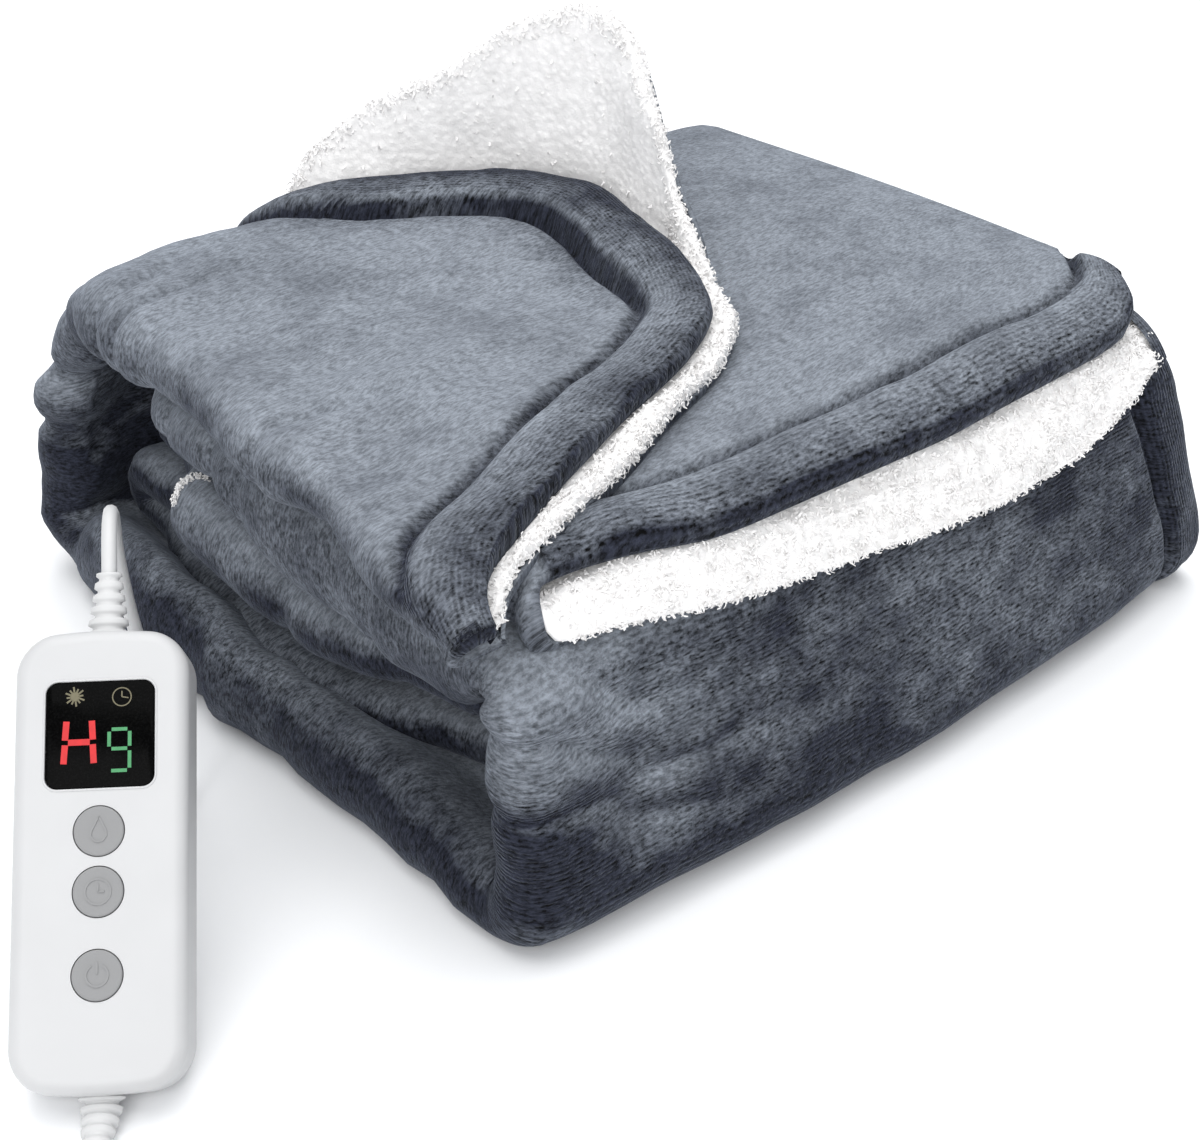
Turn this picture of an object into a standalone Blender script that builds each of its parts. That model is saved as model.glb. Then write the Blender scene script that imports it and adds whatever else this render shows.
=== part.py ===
"""Electric heated blanket, folded into a stack, with its hand controller and leads.

Units are metres and +Z is up.  The origin is the middle of the flat underside of the folded stack.
X runs along the long front wall of the stack, Y from that wall to the back of the stack.

The throw is a plush outer panel with a sherpa lining.  It is folded in two first, with the closed
fold at the low X end and the hems at the high X end, and this doubled strip is then folded eight
times over itself.  Both panels are one closed sheet each, swept along the same folded path.
"""

import math

import bmesh
import bpy
import numpy as np
from mathutils import Matrix, Vector

# ---------------------------------------------------------------- driving sizes of the folded stack
STACK_WIDTH = 0.385          # along X, from the closed fold to the hems
STACK_DEPTH = 0.340          # along Y, front wall to back wall
PLUSH = 0.0035               # thickness of the plush panel with its pile
SHERPA = 0.0060              # thickness of the sherpa lining
PLY_GAP = 0.0003             # clearance between neighbouring sheets
HALF = PLUSH + SHERPA + 0.0005      # half the thickness of the doubled strip
PITCH = 2 * HALF + 0.0006    # height from one layer of the strip to the next
ROLL_REACH = 0.045           # how far in from the closed fold a puffed lobe flattens out
NOSE = 0.014                 # longest nose of a closed fold

# ---------------------------------------------------------------- radii of the folded path
LIP_RADIUS = 0.0160          # front wall to the layer above it
WRAP_RADIUS = 0.0450         # top layer to back wall
HEEL_RADIUS = 0.0300         # back wall to the floor layer
TOE_RADIUS = 0.0150          # floor layer to the front wall
TIGHT = PITCH / 2
WIDE = 1.5 * PITCH

# ---------------------------------------------------------------- shapes of the free edges
# Free hem of the top layer: Y across the stack, X where the upper sheet ends, and how far the
# lower sheet reaches past it, flat at the front and standing up as the turned corner behind.
TOP_HEM = (
    # y      x      past
    (-0.010, -0.002, 0.006),
    (0.006, 0.006, 0.012),
    (0.026, 0.024, 0.018),
    (0.044, 0.056, 0.021),
    (0.060, 0.100, 0.020),
    (0.078, 0.148, 0.018),
    (0.098, 0.180, 0.013),
    (0.120, 0.194, 0.012),
    (0.142, 0.203, 0.014),
    (0.162, 0.210, 0.022),
    (0.182, 0.215, 0.048),
    (0.205, 0.218, 0.078),
    (0.230, 0.215, 0.091),
    (0.256, 0.203, 0.088),
    (0.280, 0.182, 0.068),
    (0.302, 0.157, 0.048),
    (0.326, 0.140, 0.022),
)
CORNER_START = 0.122         # Y where the lower sheet starts to stand up
CORNER_END = 0.162           # Y from which it stands
CORNER_ANGLE = math.radians(84)
CORNER_RADIUS = 0.008

# Drop of the lower sheet of the flap at the front, along X, as arc length past the level part.
FLAP_DROP = (
    # x      drop
    (0.000, 0.023),
    (0.040, 0.031),
    (0.084, 0.038),
    (0.150, 0.050),
    (0.220, 0.055),
    (0.270, 0.050),
    (0.310, 0.038),
    (0.350, 0.025),
)
FLAP_HEM = 0.0215            # drop of the upper sheet of the flap
HEM_BAND = 0.028             # width of the turned hem, from the hem to its seam
SEAM_DEPTH = 0.0022
SEAM_WIDTH = 0.0060
HEM_COLUMNS = (0.0, 0.022, HEM_BAND, 0.034)     # places of the sheets' columns in from the hem

# ---------------------------------------------------------------- the hand controller
# It stands on its low end and leans back.  Places on it are given along its length from the low
# end, and as lift out from its flat back.
CONTROLLER_FOOT = (-0.3445, -0.1312, -0.00222)  # middle of its low back edge, before rounding
HEADING = math.radians(52.3)            # the way its back leans, seen from above
LEAN = math.radians(44.0)    # its slope up from the floor
CASE_LENGTH = 0.154
CASE_WIDTH = 0.058
CASE_THICK = 0.026
CASE_CORNER = 0.013
CASE_DOME = 0.0025           # how far the ends bow out
CASE_ROUNDING = 0.0050
FIT = 0.0003                 # clearance between fitted pieces
DISPLAY_AT = 0.1175
DISPLAY_SIDE = 0.036
DISPLAY_CORNER = 0.004
DISPLAY_THICK = 0.0020
DISPLAY_SUNK = 0.0002
BUTTONS = (("button_heat", 0.085), ("button_timer", 0.065), ("button_power", 0.038))
BUTTON_RADIUS = 0.0083
BUTTON_POCKET = 0.0034       # depth of the pocket under the case's face
BUTTON_ROOM = 0.0013         # free space under a button
BUTTON_PROUD = 0.0005
BUTTON_EDGE = 0.0006

# ---------------------------------------------------------------- strain reliefs
RELIEF_LENGTH = 0.022
RELIEF_WIDE = (0.0078, 0.0044)          # half width at the case and at the cord
RELIEF_THICK = (0.0050, 0.0031)         # half thickness there
RELIEF_RIBS = 5
RELIEF_NOTCH = 0.80          # size of the neck between two ribs
RELIEF_SIDES = 14
TOP_LIFT = 0.013             # where each relief leaves its end of the case
LOW_LIFT = 0.0150
LOW_BEND = 0.012             # radius on which the low relief turns level
LOW_SLOPE = math.radians(4.6)           # how it still falls after that
GLAND_WIDE = (0.0040, 0.0072)           # from the cord to the blanket
GLAND_THICK = (0.0036, 0.0068)
GLAND_RIBS = 3

# ---------------------------------------------------------------- the leads
# Routes give distance ahead of the controller's foot along its heading, distance to the left of
# that, and height.
CORD_RADIUS = 0.00275
LEAD_IN = 0.006              # straight stretch out of a relief
MAINS_TURNS = (0.0241, 0.0297, 0.0353, 0.0409)  # radii of the turns of the mains coil
MAINS_LAYERS = 2
MAINS_COIL = (-0.0980, -0.0409)         # its middle, ahead and to the left
MAINS_ROUTE = (
    # ahead    left     height
    (-0.0520, 0.0004, 0.0030),
    (-0.0620, 0.0002, 0.00295),
    (-0.0750, 0.0000, 0.00295),
)
TAIL_ROUTE = (
    (-0.1389, -0.0641, 0.0087),
    (-0.1389, -0.0720, 0.0070),
    (-0.1398, -0.0810, 0.0054),
    (-0.1450, -0.0920, 0.0048),
    (-0.1530, -0.0994, 0.0058),
    (-0.1640, -0.1032, 0.0078),
    (-0.1720, -0.1047, 0.0086),
    (-0.1780, -0.1057, 0.0087),
)
PLUG_WIDTH = 0.024
PLUG_LENGTH = 0.030
PLUG_THICK = 0.0174
PLUG_CORNER = 0.006
PLUG_ROUNDING = 0.0025
BLADE_SIZE = (0.0015, 0.016, 0.0063)
BLADE_SPACING = 0.0127
LEAD_TURN = 0.0275           # radius of the turns of the small coil in the blanket's lead
LEAD_LAYERS = 2
LEAD_COIL = (0.1120, 0.0195)            # under the leaning case
DROP_ROUTE = (
    # ahead    left      height
    (0.1321, 0.0008, 0.1391),
    (0.1437, 0.0020, 0.1391),
    (0.1538, 0.0036, 0.1333),
    (0.1596, 0.0048, 0.1232),
    (0.1608, 0.0052, 0.1100),
    (0.1614, 0.0030, 0.0800),
    (0.1616, -0.0022, 0.0500),
    (0.1608, -0.0060, 0.0290),
    (0.1582, -0.0074, 0.0170),
    (0.1520, -0.0080, 0.0080),
    (0.1440, -0.0081, 0.0038),
    (0.1375, -0.0080, 0.0030),
    (0.1313, -0.0080, 0.00295),
)
RUN_ROUTE = (
    (0.1313, 0.0470, 0.0084),
    (0.1400, 0.0472, 0.0062),
    (0.1520, 0.0476, 0.0040),
    (0.1660, 0.0482, 0.0031),
    (0.1810, 0.0486, 0.0030),
    (0.1960, 0.0478, 0.0031),
    (0.2100, 0.0446, 0.0036),
    (0.2215, 0.0393, 0.0046),
    (0.2297, 0.0336, 0.0056),
)
GLAND_LENGTH = 0.022
GLAND_END = (-0.0019, 0.2450, 0.0125)   # on the closed fold, from the corner of the stack
GLAND_TURN = math.radians(4.0)          # its heading from +X
GLAND_RISE = 0.200

# ---------------------------------------------------------------- the folds, one row a station
# leg, fraction of the leg, x of the closed fold, reach of the fold's lobe on the outer and on the
# inner side of the path, and x of the hems (0 where TOP_HEM gives it); all in millimetres.
FOLDS = (
    ("tip", 0.0, -13, 10, 10, 0),
    ("top", 0.0, -12, 11, 10, 0),
    ("top", 0.3, -6, 12, 12, 0),
    ("top", 0.6, -4, 13, 14, 0),
    ("top", 1.0, -2, 14, 17, 0),
    ("wrap", 0.7, 0, 14, 20, 190),
    ("back", 0.25, 12, 11, 14, 240),
    ("back", 0.8, -4, 16, 22, 300),
    ("heel", 0.5, -5, 12, 24, 340),
    ("heel", 1.0, -4, 10, 28, 365),
    ("floor", 0.20, -4, 10, 42, 376),
    ("floor", 0.45, -4, 10, 30, 385),
    ("floor", 0.85, -6, 10, 19, 392),
    ("toe", 0.5, -7, 10, 13, 397),
    ("front", 0.5, -6, 11, 12, 386),
    ("lip", 0.5, -5, 11, 12, 368),
    ("roll", 0.0, -5, 10, 15, 362),
    ("roll", 0.08, -5, 11, 28, 360),
    ("roll", 0.35, -5, 21, 28, 358),
    ("roll", 0.50, -3, 25, 22, 358),
    ("roll", 0.72, 0, 22, 3, 360),
    ("roll", 0.92, 14, 10, 10, 370),
    ("turn_54", 0.5, 42, 10, 10, 366),
    ("four", 0.5, 50, 10, 10, 362),
    ("turn_41", 0.5, 52, 10, 10, 360),
    ("one", 0.5, 50, 10, 10, 366),
    ("turn_12", 0.5, 50, 10, 10, 368),
    ("two", 0.5, 46, 10, 10, 364),
    ("turn_23", 0.5, 24, 10, 10, 362),
    ("three", 0.15, 12, 10, 14, 364),
    ("three", 0.40, 4, 11, 17, 366),
    ("three", 0.60, 2, 22, 12, 366),
    ("three", 0.78, 6, 22, 8, 366),
    ("three", 0.95, 34, 10, 10, 364),
    ("turn_36", 0.5, 48, 10, 10, 362),
    ("flap", 0.4, 48, 10, 10, 364),
    ("flap", 0.8, 34, 10, 10, 362),
    ("flap", 1.0, 14, 10, 10, 358),
    ("brow", 0.5, 4, 11, 11, 352),
    ("brow", 1.0, 4, 11, 11, 350),
)

# ---------------------------------------------------------------- steps of the sheets
LEG_STEPS = {
    "tip": 3, "top": 14, "wrap": 5, "back": 3, "heel": 4, "floor": 4, "toe": 4, "front": 3,
    "lip": 3, "roll": 6, "turn_54": 4, "four": 4, "turn_41": 4, "one": 4, "turn_12": 4, "two": 4,
    "turn_23": 4, "three": 6, "turn_36": 4, "flap": 4, "brow": 6,
}
NOSE_STEPS = 4               # facets round the closed fold


def mm(value):
    return value * 0.001


def ease(low, high, value):
    """Smooth step from 0 at low to 1 at high."""
    part = np.clip((value - low) / (high - low), 0.0, 1.0)
    return part * part * (3.0 - 2.0 * part)


# ---------------------------------------------------------------- the folded path in the YZ plane
def level(layer):
    """Height of the middle of a layer of the strip, counted from the floor."""
    return HALF + layer * PITCH


def line(y0, z0, y1, z1):
    length = math.hypot(y1 - y0, z1 - z0)
    ty, tz = (y1 - y0) / length, (z1 - z0) / length

    def at(f):
        return (y0 + (y1 - y0) * f, z0 + (z1 - z0) * f, -tz + 0 * f, ty + 0 * f)
    return at, length


def arc(cy, cz, radius, start, end):
    """Arc from start to end degrees; the normal points out on a clockwise arc, else in."""
    a0, a1 = math.radians(start), math.radians(end)
    side = 1.0 if a1 < a0 else -1.0

    def at(f):
        a = a0 + (a1 - a0) * f
        return (cy + radius * np.cos(a), cz + radius * np.sin(a), side * np.cos(a), side * np.sin(a))
    return at, radius * abs(a1 - a0)


def folded_path():
    """The legs of the path in order, each a name, a function of its fraction and its length."""
    depth = STACK_DEPTH
    lip_y = HALF + LIP_RADIUS
    lip_z = level(5) - LIP_RADIUS
    brow = LIP_RADIUS + PITCH
    tip = brow + PITCH
    heel_z = level(0) + HEEL_RADIUS
    heel_back = depth - HALF - HEEL_RADIUS
    toe_y = HALF + TOE_RADIUS
    toe_z = level(0) + TOE_RADIUS
    wrap_y = depth - HALF - WRAP_RADIUS
    wrap_z = level(7) - WRAP_RADIUS
    inner_front = PITCH + HALF
    inner_back = depth - PITCH - HALF
    wide_front = inner_front + WIDE
    wide_back = inner_back - WIDE
    low_back = inner_back - TIGHT
    return (
        ("tip", *arc(lip_y, lip_z, tip, 128, 90)),
        ("top", *line(lip_y, level(7), wrap_y, level(7))),
        ("wrap", *arc(wrap_y, wrap_z, WRAP_RADIUS, 90, 0)),
        ("back", *line(depth - HALF, wrap_z, depth - HALF, heel_z)),
        ("heel", *arc(heel_back, heel_z, HEEL_RADIUS, 0, -90)),
        ("floor", *line(heel_back, level(0), toe_y, level(0))),
        ("toe", *arc(toe_y, toe_z, TOE_RADIUS, 270, 180)),
        ("front", *line(HALF, toe_z, HALF, lip_z)),
        ("lip", *arc(lip_y, lip_z, LIP_RADIUS, 180, 90)),
        ("roll", *line(lip_y, level(5), wide_back, level(5))),
        ("turn_54", *arc(wide_back, (level(5) + level(4)) / 2, TIGHT, 90, -90)),
        ("four", *line(wide_back, level(4), wide_front, level(4))),
        ("turn_41", *arc(wide_front, (level(4) + level(1)) / 2, WIDE, 90, 270)),
        ("one", *line(wide_front, level(1), low_back, level(1))),
        ("turn_12", *arc(low_back, (level(1) + level(2)) / 2, TIGHT, -90, 90)),
        ("two", *line(low_back, level(2), wide_front, level(2))),
        ("turn_23", *arc(wide_front, (level(2) + level(3)) / 2, TIGHT, 270, 90)),
        ("three", *line(wide_front, level(3), wide_back, level(3))),
        ("turn_36", *arc(wide_back, (level(3) + level(6)) / 2, WIDE, -90, 90)),
        ("flap", *line(wide_back, level(6), lip_y, level(6))),
        ("brow", *arc(lip_y, lip_z, brow, 90, 90 + math.degrees(0.056 / brow))),
    )


PATH = folded_path()
LEG_START = {}
for leg_index, (leg_name, _, leg_length) in enumerate(PATH):
    LEG_START[leg_name] = sum(entry[2] for entry in PATH[:leg_index])
LEG_LENGTH = {name: length for name, _, length in PATH}


def travel(leg, fraction):
    """Distance along the path of a fraction of a leg."""
    return LEG_START[leg] + LEG_LENGTH[leg] * fraction


def path_at(s):
    """Y, Z and the normal (ny, nz) of the path at the distances s."""
    result = np.zeros((4,) + s.shape)
    last = PATH[-1][0]
    for name, at, length in PATH:
        start = LEG_START[name]
        here = (s >= start) & ((s < start + length) | (name == last))
        result[:, here] = at((s[here] - start) / length)
    return result


def curve(knots, values, at):
    """Smooth curve through the knots that never overshoots them."""
    knots, values = np.asarray(knots, float), np.asarray(values, float)
    steps = np.diff(knots)
    slopes = np.diff(values) / steps
    tangents = np.zeros(len(knots))
    same = slopes[1:] * slopes[:-1] > 0
    mean = 2 * slopes[1:] * slopes[:-1] / np.where(same, slopes[1:] + slopes[:-1], 1.0)
    tangents[1:-1] = np.where(same, mean, 0.0)
    tangents[0], tangents[-1] = slopes[0], slopes[-1]
    at = np.clip(at, knots[0], knots[-1])
    i = np.clip(np.searchsorted(knots, at, side="right") - 1, 0, len(steps) - 1)
    t = (at - knots[i]) / steps[i]
    h00, h10 = 2 * t ** 3 - 3 * t ** 2 + 1, t ** 3 - 2 * t ** 2 + t
    h01, h11 = 3 * t ** 2 - 2 * t ** 3, t ** 3 - t ** 2
    return (h00 * values[i] + h10 * steps[i] * tangents[i]
            + h01 * values[i + 1] + h11 * steps[i] * tangents[i + 1])


def top_travel(y):
    """Distance along the path of a place Y on the top layer."""
    lip_y = HALF + LIP_RADIUS
    radius = LIP_RADIUS + 2 * PITCH
    wrap_y = STACK_DEPTH - HALF - WRAP_RADIUS
    if y < lip_y:
        return LEG_LENGTH["tip"] - radius * math.asin((lip_y - y) / radius)
    if y < wrap_y:
        return LEG_START["top"] + y - lip_y
    return LEG_START["wrap"] + WRAP_RADIUS * math.asin(min((y - wrap_y) / WRAP_RADIUS, 1.0))


def fold_table():
    """Knots and values along the path: closed fold, outer lobe, inner lobe, hem and reach past it."""
    knots = [travel(leg, fraction) for leg, fraction, *_ in FOLDS]
    fold = [mm(row[2]) for row in FOLDS]
    outer = [mm(row[3]) for row in FOLDS]
    inner = [mm(row[4]) for row in FOLDS]
    hem = [(top_travel(y), x, past) for y, x, past in TOP_HEM]
    hem += [(travel(row[0], row[1]), mm(row[5]), 0.0) for row in FOLDS if row[5]]
    hem_knots, hem_x, past = zip(*hem)
    return knots, fold, outer, inner, hem_knots, hem_x, past


TABLE = fold_table()


def fold_at(s):
    """The fold's modulations at distance s, and the slope factor of its hem."""
    knots, fold, outer, inner, hem_knots, hem_x, past = TABLE
    hem = curve(hem_knots, hem_x, s)
    step = 0.002
    slope = (curve(hem_knots, hem_x, s + step) - curve(hem_knots, hem_x, s - step)) / (2 * step)
    return (curve(knots, fold, s), curve(knots, outer, s), curve(knots, inner, s), hem,
            np.maximum(curve(hem_knots, past, s), 0.0), np.sqrt(1 + slope ** 2))


def settle(x, y, z):
    """Slump of the stack: a front wall that swells low down, soft ends and a full back corner."""
    along = np.clip(x / STACK_WIDTH, 0.0, 1.0)
    swell = 0.013 + 0.014 * (4 * along * (1 - along)) ** 0.8
    front = (1 - ease(0.0, 0.115, z)) * (1 - ease(0.0, 0.110, y))
    corner = 0.022 * (1 - ease(0.0, 0.200, x)) * ease(0.180, 0.340, y) * (1 - ease(0.060, 0.150, z))
    ends = 1 - 0.040 * (1 - ease(-0.005, 0.060, x)) - 0.030 * ease(0.340, 0.390, x)
    loft = 0.075 * ease(0.080, 0.300, x)
    dents = 0.010 * np.sin(19 * x + 7 * y + 0.6) * np.sin(13 * y - 6 * x + 1.1)
    return x, y - swell * front + corner, z * (ends + loft + dents)


# ---------------------------------------------------------------- sheets
def standing(y):
    """How far the turned corner of the lower sheet stands up at Y, in radians."""
    return CORNER_ANGLE * ease(CORNER_START, CORNER_END, y)


def columns(fold, nose, hem, past, slope):
    """Places across the strip, hem to hem round the closed fold: side, X and angle on the nose."""
    start = fold + nose
    width = hem - start
    seam = [d * slope for d in HEM_COLUMNS]
    reach = ROLL_REACH - nose
    squeeze = np.minimum(1.0, 0.85 * width / (seam[-1] + reach))
    upper = [hem - d * squeeze for d in seam]
    bend = CORNER_RADIUS * CORNER_ANGLE
    spread = np.maximum(past, 0.020)
    turn = np.minimum(bend, 0.6 * spread)
    end = hem + past
    lower_width = end - start
    lower_squeeze = np.minimum(1.0, 0.85 * lower_width / (spread + reach))
    lower = [end - d * lower_squeeze for d in (spread, spread - turn / 2, spread - turn, 0 * spread)]
    inset = start + reach * squeeze
    low_inset = start + reach * lower_squeeze
    places = [(1, x, None) for x in upper]
    places.append((1, (2 * upper[-1] + inset) / 3, None))
    places.append((1, (upper[-1] + 2 * inset) / 3, None))
    places.append((1, inset, None))
    places += [(0, start, math.pi * (0.5 - k / NOSE_STEPS)) for k in range(NOSE_STEPS + 1)]
    places.append((-1, low_inset, None))
    places.append((-1, (lower[0] + low_inset) / 2, None))
    places += [(-1, x, None) for x in lower]
    return places


def skin(rows, depth, groove):
    """Grid of points of one face of a sheet, at a depth under the outside of the strip."""
    fold, outer, inner, hem, past, slope = fold_at(rows)
    half = (outer + inner) / 2
    nose = np.minimum(half, NOSE)
    y_row = path_at(rows)[0]
    on_top = rows < LEG_START["back"]
    stand = np.where(on_top, standing(y_row), 0.0)
    brow = LEG_START["brow"]
    on_brow = rows >= brow
    part = np.clip((rows - brow) / LEG_LENGTH["brow"], 0.0, 1.0)
    drop_x, drop = zip(*FLAP_DROP)
    grid = []
    for side, x, angle in columns(fold, nose, hem, past, slope):
        if side == 0:
            side_share = 0.5 + 0.5 * math.sin(angle)
            across = (outer - inner) / 2 + (half - depth) * math.sin(angle)
            x = x - (nose - depth) * math.cos(angle)
        else:
            side_share = 0.5 + 0.5 * side
            flat = 1 - ease(0.0, ROLL_REACH - nose, x - (fold + nose))
            reach = outer if side > 0 else inner
            across = side * (HALF + (reach - HALF) * flat - depth)
            if side > 0:
                from_hem = (hem - x) / slope
                across = across - groove * SEAM_DEPTH * np.exp(-((from_hem - HEM_BAND) / SEAM_WIDTH) ** 2)
        end = FLAP_HEM + (curve(drop_x, drop, x) - FLAP_HEM) * side_share
        s = np.where(on_brow, brow + part * end, rows)
        if side < 0:
            before = brow + part * end - (brow + end - HEM_BAND)
            dip = groove * SEAM_DEPTH * np.exp(-(before / SEAM_WIDTH) ** 2)
            dip = dip + groove * SEAM_DEPTH * np.exp(-((s - (brow + end - HEM_BAND)) / SEAM_WIDTH) ** 2)
            across = across + np.where(s > LEG_START["flap"], np.minimum(dip, groove * SEAM_DEPTH), 0.0)
        y, z, ny, nz = path_at(s)
        if side < 0:
            foot = hem - 0.002
            run = np.maximum(x - foot, 0.0)
            bend = CORNER_RADIUS * stand
            tilt = np.minimum(run / CORNER_RADIUS, stand)
            rest = np.maximum(run - bend, 0.0)
            up = CORNER_RADIUS * (1 - np.cos(tilt)) + rest * np.sin(tilt) + across * np.cos(tilt)
            out = CORNER_RADIUS * np.sin(tilt) + rest * np.cos(tilt) - across * np.sin(tilt)
            stands = (run > 0) & (stand > 0)
            x = np.where(stands, foot + out, x)
            across = np.where(stands, up, across)
        grid.append(np.stack(settle(x, y + ny * across, z + nz * across), axis=-1))
    return np.stack(grid, axis=1)


def leg_rows():
    rows = [0.0]
    for name, _, length in PATH:
        steps = LEG_STEPS[name]
        rows += [LEG_START[name] + length * (k + 1) / steps for k in range(steps)]
    return np.array(rows) - 1e-9


def sheet(name, depth, thickness, groove, material):
    """One closed sheet between two depths of the strip, with its hems and ends closed."""
    rows = np.maximum(leg_rows(), 0.0)
    faces_of = [skin(rows, depth, groove), skin(rows, depth + thickness, 0.0)]
    count, across = faces_of[0].shape[:2]
    mesh = bmesh.new()
    outer, inner = (
        [[mesh.verts.new(to_part(face[i, j])) for j in range(across)] for i in range(count)]
        for face in faces_of
    )
    for i in range(count - 1):
        for j in range(across - 1):
            mesh.faces.new((outer[i][j], outer[i + 1][j], outer[i + 1][j + 1], outer[i][j + 1]))
            mesh.faces.new((inner[i][j], inner[i][j + 1], inner[i + 1][j + 1], inner[i + 1][j]))
        for j, flip in ((0, False), (across - 1, True)):
            rim = [outer[i][j], inner[i][j], inner[i + 1][j], outer[i + 1][j]]
            mesh.faces.new(rim[::-1] if flip else rim)
    for i, flip in ((0, True), (count - 1, False)):
        for j in range(across - 1):
            rim = [outer[i][j], inner[i][j], inner[i][j + 1], outer[i][j + 1]]
            mesh.faces.new(rim[::-1] if flip else rim)
    bmesh.ops.triangulate(mesh, faces=mesh.faces[:])
    bmesh.ops.recalc_face_normals(mesh, faces=mesh.faces[:])
    return add_mesh(name, mesh, material)


def to_part(point):
    """From the corner of the stack to the part's own origin."""
    return Vector((point[0] - ORIGIN_X, point[1] - ORIGIN_Y, point[2]))


ORIGIN_X = STACK_WIDTH / 2
ORIGIN_Y = STACK_DEPTH / 2


# ---------------------------------------------------------------- objects and materials
def add_object(name, data, material, collection="heated_blanket"):
    made = bpy.data.objects.new(name, data)
    data.materials.append(material)
    bpy.data.collections[collection].objects.link(made)
    return made


def add_mesh(name, mesh, material, collection="heated_blanket"):
    data = bpy.data.meshes.new(name)
    mesh.to_mesh(data)
    mesh.free()
    return add_object(name, data, material, collection)


def make_material(name, colour, roughness, metallic=0.0):
    material = bpy.data.materials.new(name)
    material.use_nodes = True
    shader = material.node_tree.nodes["Principled BSDF"]
    shader.inputs["Base Color"].default_value = (*colour, 1.0)
    shader.inputs["Roughness"].default_value = roughness
    shader.inputs["Metallic"].default_value = metallic
    return material


def clear_scene():
    for made in list(bpy.data.objects):
        bpy.data.objects.remove(made, do_unlink=True)
    for name in ("heated_blanket", "cutters"):
        collection = bpy.data.collections.new(name)
        bpy.context.scene.collection.children.link(collection)


# ---------------------------------------------------------------- building blocks
def outline_ring(width, length, corner, dome=0.0):
    """Points round a rounded rectangle whose short ends bow out by dome."""
    steps = 6
    ring = []
    for quarter in range(4):
        side_x = (1, 1, -1, -1)[quarter]
        side_y = (-1, 1, 1, -1)[quarter]
        middle_x = side_x * (width / 2 - corner)
        middle_y = side_y * (length / 2 - corner)
        for step in range(steps + 1):
            turn = (quarter - 1 + step / steps) * math.pi / 2
            ring.append((middle_x + corner * math.cos(turn), middle_y + corner * math.sin(turn)))
        if dome and side_x * side_y > 0:
            ring += [(middle_x * share, side_y * length / 2) for share in (0.4, -0.4)]
    return [(x, y + math.copysign(dome * (1 - (2 * x / width) ** 2), y)) for x, y in ring]


def add_bevel(body, width, segments):
    bevel = body.modifiers.new("rounding", "BEVEL")
    bevel.width = width
    bevel.segments = segments
    bevel.limit_method = "ANGLE"
    bevel.angle_limit = math.radians(60)


def add_plate(name, ring, thickness, place, material, collection="heated_blanket"):
    """Flat body with the outline of the ring, standing on its own XY plane."""
    mesh = bmesh.new()
    face = mesh.faces.new([mesh.verts.new((x, y, 0.0)) for x, y in ring])
    raised = bmesh.ops.extrude_face_region(mesh, geom=[face])
    moved = [item for item in raised["geom"] if isinstance(item, bmesh.types.BMVert)]
    bmesh.ops.translate(mesh, verts=moved, vec=(0, 0, thickness))
    bmesh.ops.recalc_face_normals(mesh, faces=mesh.faces[:])
    made = add_mesh(name, mesh, material, collection)
    made.matrix_world = place
    return made


def add_disc(name, radius, depth, place, material, collection="heated_blanket"):
    mesh = bmesh.new()
    bmesh.ops.create_cone(mesh, cap_ends=True, segments=28, radius1=radius, radius2=radius, depth=depth)
    made = add_mesh(name, mesh, material, collection)
    made.matrix_world = place
    return made


def cut_pocket(body, name, cutter):
    cutter.hide_render = True
    cutter.display_type = "WIRE"
    cut = body.modifiers.new(name, "BOOLEAN")
    cut.operation = "DIFFERENCE"
    cut.solver = "EXACT"
    cut.object = cutter


def through(route, count):
    """Evenly spaced points of a smooth curve through the route's own points."""
    knots = [Vector(point) for point in route]
    ends = [2 * knots[0] - knots[1]] + knots + [2 * knots[-1] - knots[-2]]
    dense = []
    fine = 24
    for a, b, c, d in zip(ends, ends[1:], ends[2:], ends[3:]):
        for k in range(fine):
            t = k / fine
            dense.append(0.5 * (2 * b + (c - a) * t + (2 * a - 5 * b + 4 * c - d) * t ** 2
                                + (3 * b - a - 3 * c + d) * t ** 3))
    dense.append(knots[-1])
    run = [0.0]
    for a, b in zip(dense, dense[1:]):
        run.append(run[-1] + (b - a).length)
    points = []
    for k in range(count):
        goal = run[-1] * k / (count - 1)
        i = min(max(int(np.searchsorted(run, goal)) - 1, 0), len(dense) - 2)
        points.append(dense[i].lerp(dense[i + 1], (goal - run[i]) / (run[i + 1] - run[i])))
    return points


def add_cord(name, route, count, material):
    """Plain round tube on a smooth curve through the route."""
    data = bpy.data.curves.new(name, "CURVE")
    data.dimensions = "3D"
    data.bevel_depth = CORD_RADIUS
    data.bevel_resolution = 3
    data.use_fill_caps = True
    spline = data.splines.new("POLY")
    points = through(route, count)
    spline.points.add(len(points) - 1)
    for spot, point in zip(spline.points, points):
        spot.co = (*point, 1.0)
    return add_object(name, data, material)


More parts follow.
